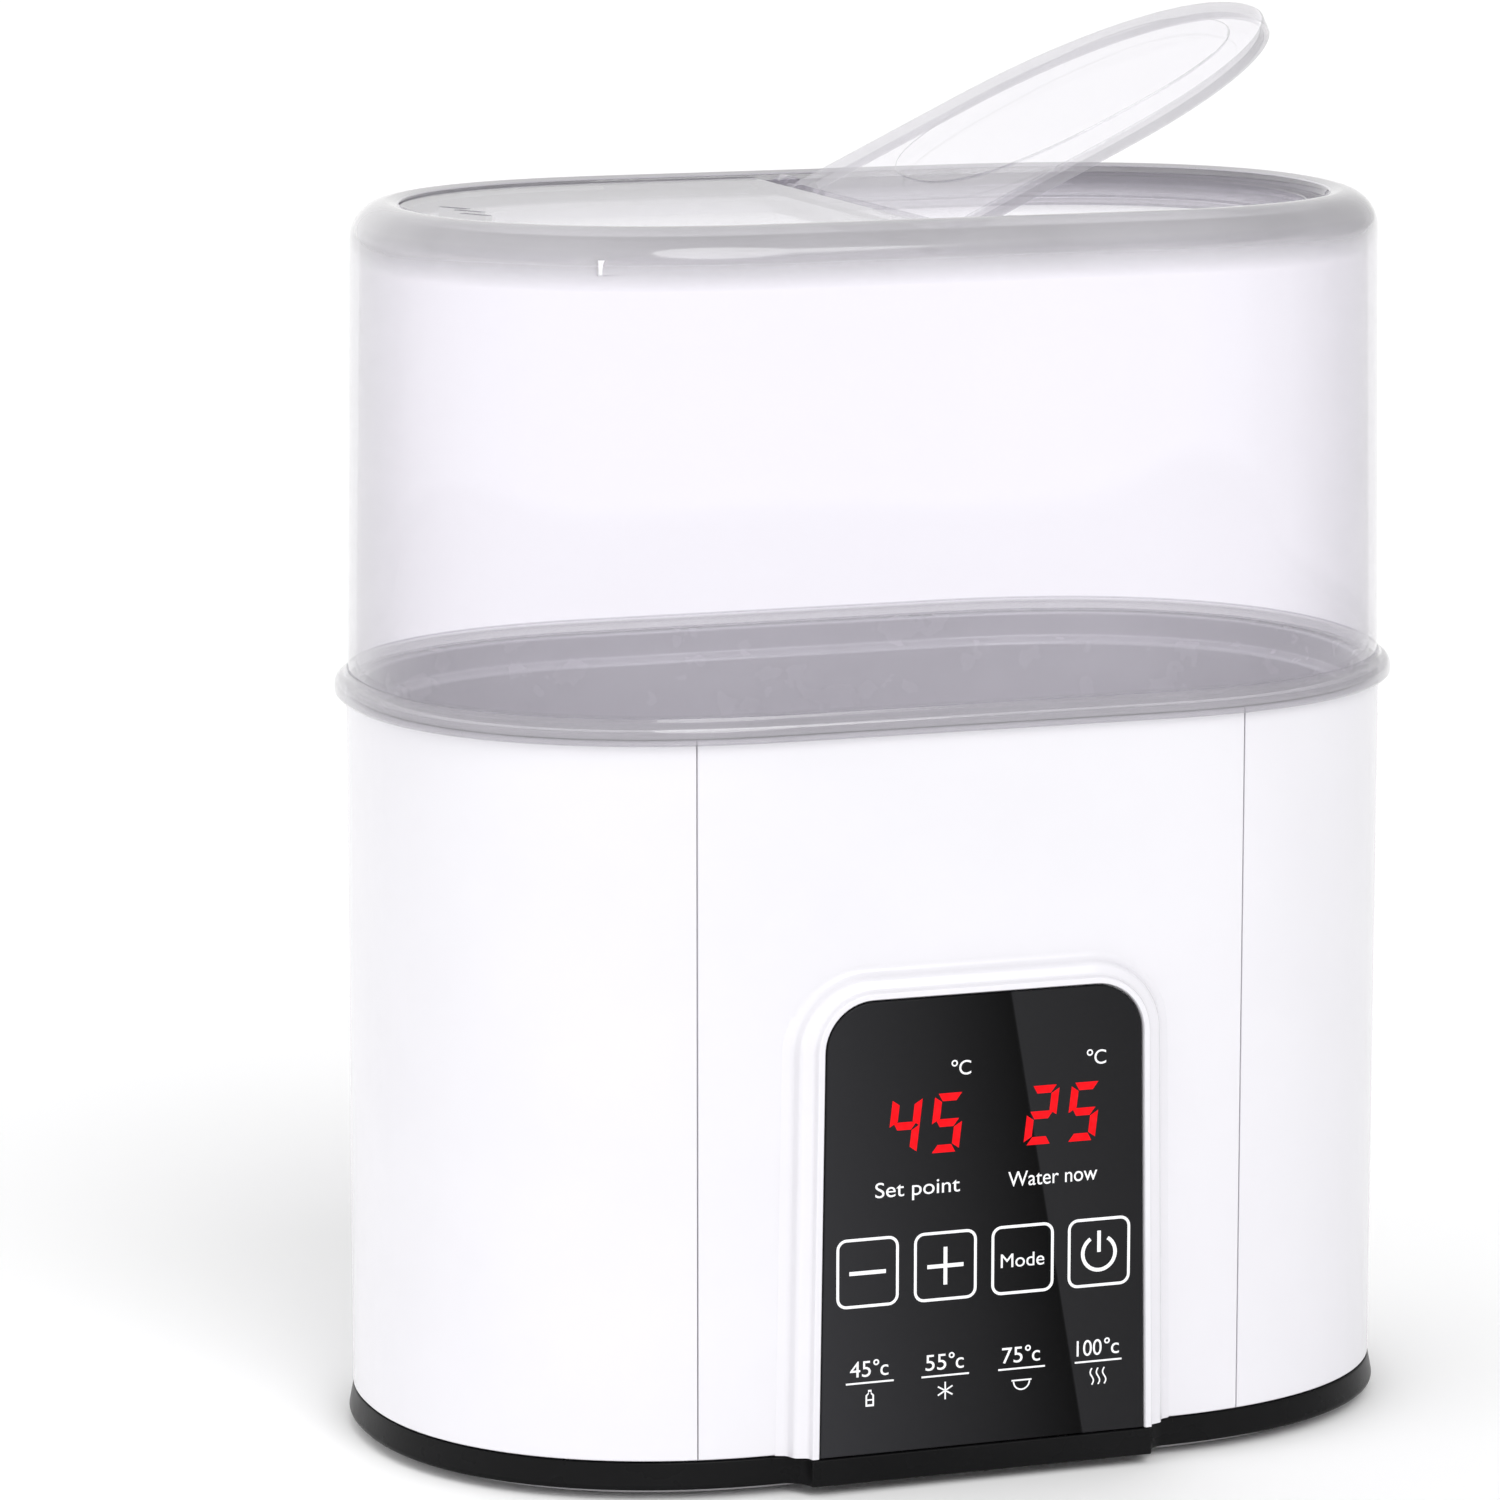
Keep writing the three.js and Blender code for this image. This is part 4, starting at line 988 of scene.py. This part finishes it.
def presets():
    """Temperatures of the four programs, each underlined, with a small symbol below."""
    marks = []
    baseline, capital = 26.8, 3.8
    ring_z = baseline + 3.1
    for number, x0, x1 in PRESETS:
        two_digits = len(number) == 2
        digits_end = (x0 + x1) / 2 + (0.2 if two_digits else 0.8)
        start = digits_end - (4.9 if two_digits else 6)
        marks.append(lettering(number, start, digits_end, baseline, capital))
        ring_x = digits_end + 1.3
        ring = arc(ring_x, ring_z, 0.7, 0, 360, 16)[:-1]
        hole = arc(ring_x, ring_z, 0.35, 0, 360, 16)[:-1]
        marks.append(decal_frame(ring, hole))
        marks.append(lettering("c", ring_x + 1, ring_x + 2.9, baseline, capital))
        marks.append(stroke([(x0, 25.4), (x1, 25.4)], 0.4))
    return marks


def bottle_symbol(x, z):
    outline = [(-1, -2), (1, -2), (1, 0.6), (0.4, 1.1), (0.4, 1.8), (-0.4, 1.8), (-0.4, 1.1), (-1, 0.6)]
    outer = [(x + a, z + b) for a, b in outline]
    inner = [(x + a * 0.62, z + b * 0.76) for a, b in outline]
    return [decal_frame(outer, inner), stroke([(x - 0.6, z - 0.5), (x + 0.6, z - 0.5)], 0.3)]


def flake_symbol(x, z):
    lines = [stroke([(x, z - 2), (x, z + 2)], 0.34)]
    for turn in (30, 150):
        dx, dz = 2 * math.cos(math.radians(turn)), 2 * math.sin(math.radians(turn))
        for sign in (1, -1):
            near = 0.12
            start = (x + sign * dx * near, z + sign * dz * near)
            lines.append(stroke([start, (x + sign * dx, z + sign * dz)], 0.34))
    return lines


def cup_symbol(x, z):
    bowl = arc(x, z + 0.5, 1.9, 180, 360, 16)
    return [stroke(bowl, 0.34), stroke([(x - 2.4, z + 0.75), (x + 2.4, z + 0.75)], 0.34)]


def steam_symbol(x, z):
    lines = []
    for shift in (-1.5, 0, 1.5):
        path = []
        for i in range(13):
            t = i / 12
            path.append((x + shift + 0.4 * math.sin(2 * math.pi * t), z - 1.9 + 3.8 * t))
        lines.append(stroke(path, 0.32))
    return lines


def panel_print():
    symbols = []
    for draw, (_, x0, x1) in zip((bottle_symbol, flake_symbol, cup_symbol, steam_symbol), PRESETS):
        symbols += draw((x0 + x1) / 2, 21.9)
    labels = [
        lettering("Set point", -26, -6, 67.2, 3.6),
        lettering("Water now", 5.5, 26.8, 67.2, 3.6),
    ]
    return gather([*key_frames(), *key_symbols(), *degree_marks(), *presets(), *symbols, *labels])


# Seven-segment digits: each segment's ends on a grid of two squares, one above the other, taken
# clockwise round the digit.
SEGMENTS = {
    "a": ((0, 2), (1, 2)),
    "b": ((1, 2), (1, 1)),
    "c": ((1, 1), (1, 0)),
    "d": ((1, 0), (0, 0)),
    "e": ((0, 0), (0, 1)),
    "f": ((0, 1), (0, 2)),
    "g": ((0, 1), (1, 1)),
}
DIGITS = {"2": "abged", "4": "fgbc", "5": "afgcd"}


def segment(first, last, middle, width, gap):
    """A bar between two grid corners: mitred at the digit's corners, pointed at its middle."""
    along = (last - first).normalized()
    across = Vector((-along.y, along.x)) * width / 2
    point = along * width / 2
    start, end = first + along * gap, last - along * gap
    inner = [end - point - across, start + point - across]
    if first.y == last.y == middle:
        return [start, start + point + across, end - point + across, end, *inner]
    outer_start = start if first.y == middle else start - point * 0.3
    outer_end = end if last.y == middle else end + point * 0.3
    return [outer_start + across, outer_end + across, *inner]


def digit(number, left, bottom):
    width, height, bar_width, gap, lean = 5.3, 11.6, 1.75, 0.16, 0.12
    shapes = []
    for name in DIGITS[number]:
        first, last = (Vector((a * width, b * height / 2)) for a, b in SEGMENTS[name])
        corners = segment(first, last, height / 2, bar_width, gap)
        shapes.append(decal([(left + x + lean * z, bottom + z) for x, z in corners]))
    return shapes


def panel_digits():
    shapes = []
    for number, left in (("4", -23.2), ("5", -13.2), ("2", 9.3), ("5", 19.3)):
        shapes += digit(number, left + 0.7, 77.2)
    return gather(shapes)


finish(panel_lens(), "touch_lens", "base_unit", LENS_PAINTED_REFLECTION, "black_lens", "panel_lens", angle=50)
finish(panel_print(), "panel_symbols", "base_unit", PRINT, "white_plastic", angle=20)
finish(panel_digits(), "panel_digits", "base_unit", RED, "display_module", angle=20)


# ---------------------------------------------------------------- tank, heating plate and rack
def water_tank():
    shell = sweep("tank", eased([
        (-36.4, 64.2, 0),
        (-12.5, 64.2, 1.6),
        (-8.9, 67.2, 1.6),
        (-5.1, 163.4, 1),
        (-2.6, 165, 0.6),
        (-2.6, 170.9, 0),
        (-0.3, 170.9, 0.2),
        (-0.3, 172.4, 0.4),
        (-4.2, 172.4, 0.7),
        (-4.2, 166.6, 0.5),
        (-6.8, 165.6, 0.8),
        (-10.6, 72, 2.5),
        (-11.8, 68, 1.5),
        (-14.5, 66, 1.5),
        (-36.4, 66, 0.2),
    ]))
    bosses = [post(3.6, x, y, 60.6, 64.8) for x, y in CLAMP_SCREWS]
    bores = [post(1.7, x, y, 50, 64) for x, y in CLAMP_SCREWS]
    return cut(join(shell, *bosses), *bores)


def heating_plate():
    """Steel plate with a pressed groove, turned down at its edge into a flange."""
    return sweep("plate", eased([
        (-45, 64, 0),
        (-38.2, 64, 0),
        (-38.2, 60.6, 0),
        (-31, 60.6, 0),
        (-31, 61.8, 0),
        (-36.7, 61.8, 0),
        (-36.7, 66, 0.4),
        (-42, 66, 0.6),
        (-43, 65.4, 0.5),
        (-46, 65.4, 0.5),
        (-47, 66, 0.6),
        (-52, 66, 0),
    ]), ring=False)


HANDLE_TABS = (-10, 10)  # where the handle is clipped through the rack's plate


def rack_handle():
    """Upright handle with a round top and a finger hole, held by two hooked tabs."""
    top, foot, half = 140, RACK_TOP + 0.3, 1.6
    outline = [
        Vector((-16, foot)),
        Vector((16, foot)),
        *arc(4, top - 12, 12, 0, 90, 14),
        *arc(-4, top - 12, 12, 90, 180, 14),
    ]
    hole = arc(4, top - 13, 7, -90, 90, 16) + arc(-4, top - 13, 7, 90, 270, 16)
    blade = skin("blade", [[(x, y, z) for y, z in outline] for x in (-half, half)])
    grip = skin("grip", [[(x, y, z) for y, z in hole] for x in (-5, 5)])
    blade = bevel(cut(blade, grip), 0.5, 3, 50)
    tabs = []
    for y in HANDLE_TABS:
        tabs.append(block(-half, half, y - 3, y + 3, RACK_Z - 1.5, foot + 1))
        tabs.append(block(-2.6, 2.6, y - 3, y + 3, RACK_Z - 1.5, RACK_Z - 0.3))
    return join(blade, *tabs)


def bottle_rack():
    """Plate with a perforated seat for each bottle, a low wall round each seat, and short legs."""
    plate = sweep("rack", eased([
        (-14.6, RACK_Z, 0),
        (-13.6, RACK_Z, 0.4),
        (-13.6, RACK_TOP, 0.6),
        (-18, RACK_TOP, 0),
    ]), ring=False)
    wall_profile = eased([
        (SEAT_RADIUS, RACK_TOP - 0.5, 0),
        (SEAT_RADIUS + 2, RACK_TOP - 0.5, 0),
        (SEAT_RADIUS + 2, RACK_TOP + 12, 0.6),
        (SEAT_RADIUS, RACK_TOP + 12, 0.6),
    ])
    parts = [move(lathe("seat", wall_profile, 96, ring=True), x) for x in (-SEAT_X, SEAT_X)]
    for x, y in ((92, 16), (30, 46)):
        for leg_x, leg_y in ((x, y), (-x, y), (x, -y), (-x, -y)):
            parts.append(post(3, leg_x, leg_y, TANK_FLOOR + 0.3, RACK_Z + 0.5))
    holes = []
    for seat in (-SEAT_X, SEAT_X):
        holes.append(post(5, seat, 0, 60, 80))
        for i in range(6):
            turn = i / 6 * 2 * math.pi
            holes.append(post(5, seat + 24 * math.cos(turn), 24 * math.sin(turn), 60, 80))
    holes += [block(-1.9, 1.9, y - 3.3, y + 3.3, 60, 80) for y in HANDLE_TABS]
    return cut(join(plate, *parts), *holes)


finish(water_tank(), "tank", "base_unit", TANK_GREY, "tank_grey", "water_tank")
finish(heating_plate(), "hot_plate", "base_unit", STEEL, "steel", "heating_plate")
finish(bottle_rack(), "rack", "rack", RACK_WHITE, "rack_plastic", "bottle_rack")
finish(rack_handle(), "rack_grip", "rack", RACK_WHITE, "rack_plastic", "rack_handle")

# ---------------------------------------------------------------- CAD nodes that keep their shape
FINISHES = {
    "circuit_board": CIRCUIT,
    "display_module": DISPLAY,
    "steel": STEEL,
    "aluminium": ALUMINIUM,
    "silicone": SILICONE,
    "winding_tape": COIL,
    "relay_blue": RELAY_BLUE,
    "red_sleeve": SLEEVE_RED,
    "black_sleeve": SLEEVE_BLACK,
    "black_plastic": BLACK,
    "ribbon": RIBBON,
}
for entry in frame["record"]["subparts"]:
    node = frame["nodes"][entry["node"]]
    if node.hide_render:
        continue
    node.data.materials.clear()
    node.data.materials.append(FINISHES[entry["material_slot"]])


# ---------------------------------------------------------------- floor, light and camera
def floor():
    radius = 25000
    disc = skin("floor", [[(x, y, z) for x, y in arc(0, 0, radius, 0, 360, 96)[:-1]] for z in (-20, 0)])
    nodes = Nodes("floor")
    shader = nodes.principled(Roughness=0.6)
    shader.inputs["Specular IOR Level"].default_value = 0.1
    tone = nodes.spread(nodes.noise(400), 0, 1)
    nodes.link(nodes.blend(tone, (0.94, 0.94, 0.94), (0.95, 0.95, 0.95)), shader.inputs["Base Color"])
    nodes.link(shader.outputs["BSDF"], nodes.output.inputs["Surface"])
    disc.data.materials.append(nodes.material)


def sun(towards, strength, spread):
    """A distant soft light in the given direction, `spread` degrees wide."""
    light = bpy.data.lights.new("sun", "SUN")
    light.energy = strength
    light.angle = math.radians(spread)
    lamp = bpy.data.objects.new("sun", light)
    lamp.rotation_euler = Vector(towards).to_track_quat("Z", "Y").to_euler()
    bpy.context.collection.objects.link(lamp)


def surroundings():
    """An even white studio, a little darker towards the right and overhead."""
    scene = bpy.context.scene
    world = bpy.data.worlds.new("studio")
    world.use_nodes = True
    tree = world.node_tree
    background = tree.nodes["Background"]
    background.inputs["Color"].default_value = (1, 1, 1, 1)
    direction = tree.nodes.new("ShaderNodeTexCoord")
    dimming = tree.nodes.new("ShaderNodeVectorMath")
    dimming.operation = "DOT_PRODUCT"
    dimming.inputs[1].default_value = (0.55, 0, 0.45)
    tree.links.new(direction.outputs["Generated"], dimming.inputs[0])
    level = tree.nodes.new("ShaderNodeMath")
    level.operation = "SUBTRACT"
    level.inputs[0].default_value = 1.17
    tree.links.new(dimming.outputs["Value"], level.inputs[1])
    tree.links.new(level.outputs["Value"], background.inputs["Strength"])
    scene.world = world
    scene.view_settings.view_transform = "Standard"
    scene.cycles.transparent_max_bounces = 32


def camera():
    data = bpy.data.cameras.new("camera")
    data.sensor_width = 36
    data.lens = 162.45
    data.clip_end = 100
    place = Vector((-536.34, -1434.64, 426.73))
    target = Vector((-25.18, 9.14, 153.21))
    holder = bpy.data.objects.new("camera", data)
    holder.location = place * MM
    holder.rotation_euler = (target - place).to_track_quat("-Z", "Y").to_euler()
    bpy.context.collection.objects.link(holder)
    bpy.context.scene.camera = holder


floor()
surroundings()
sun((0.07, -0.77, 0.63), 1.4, 34)
camera()
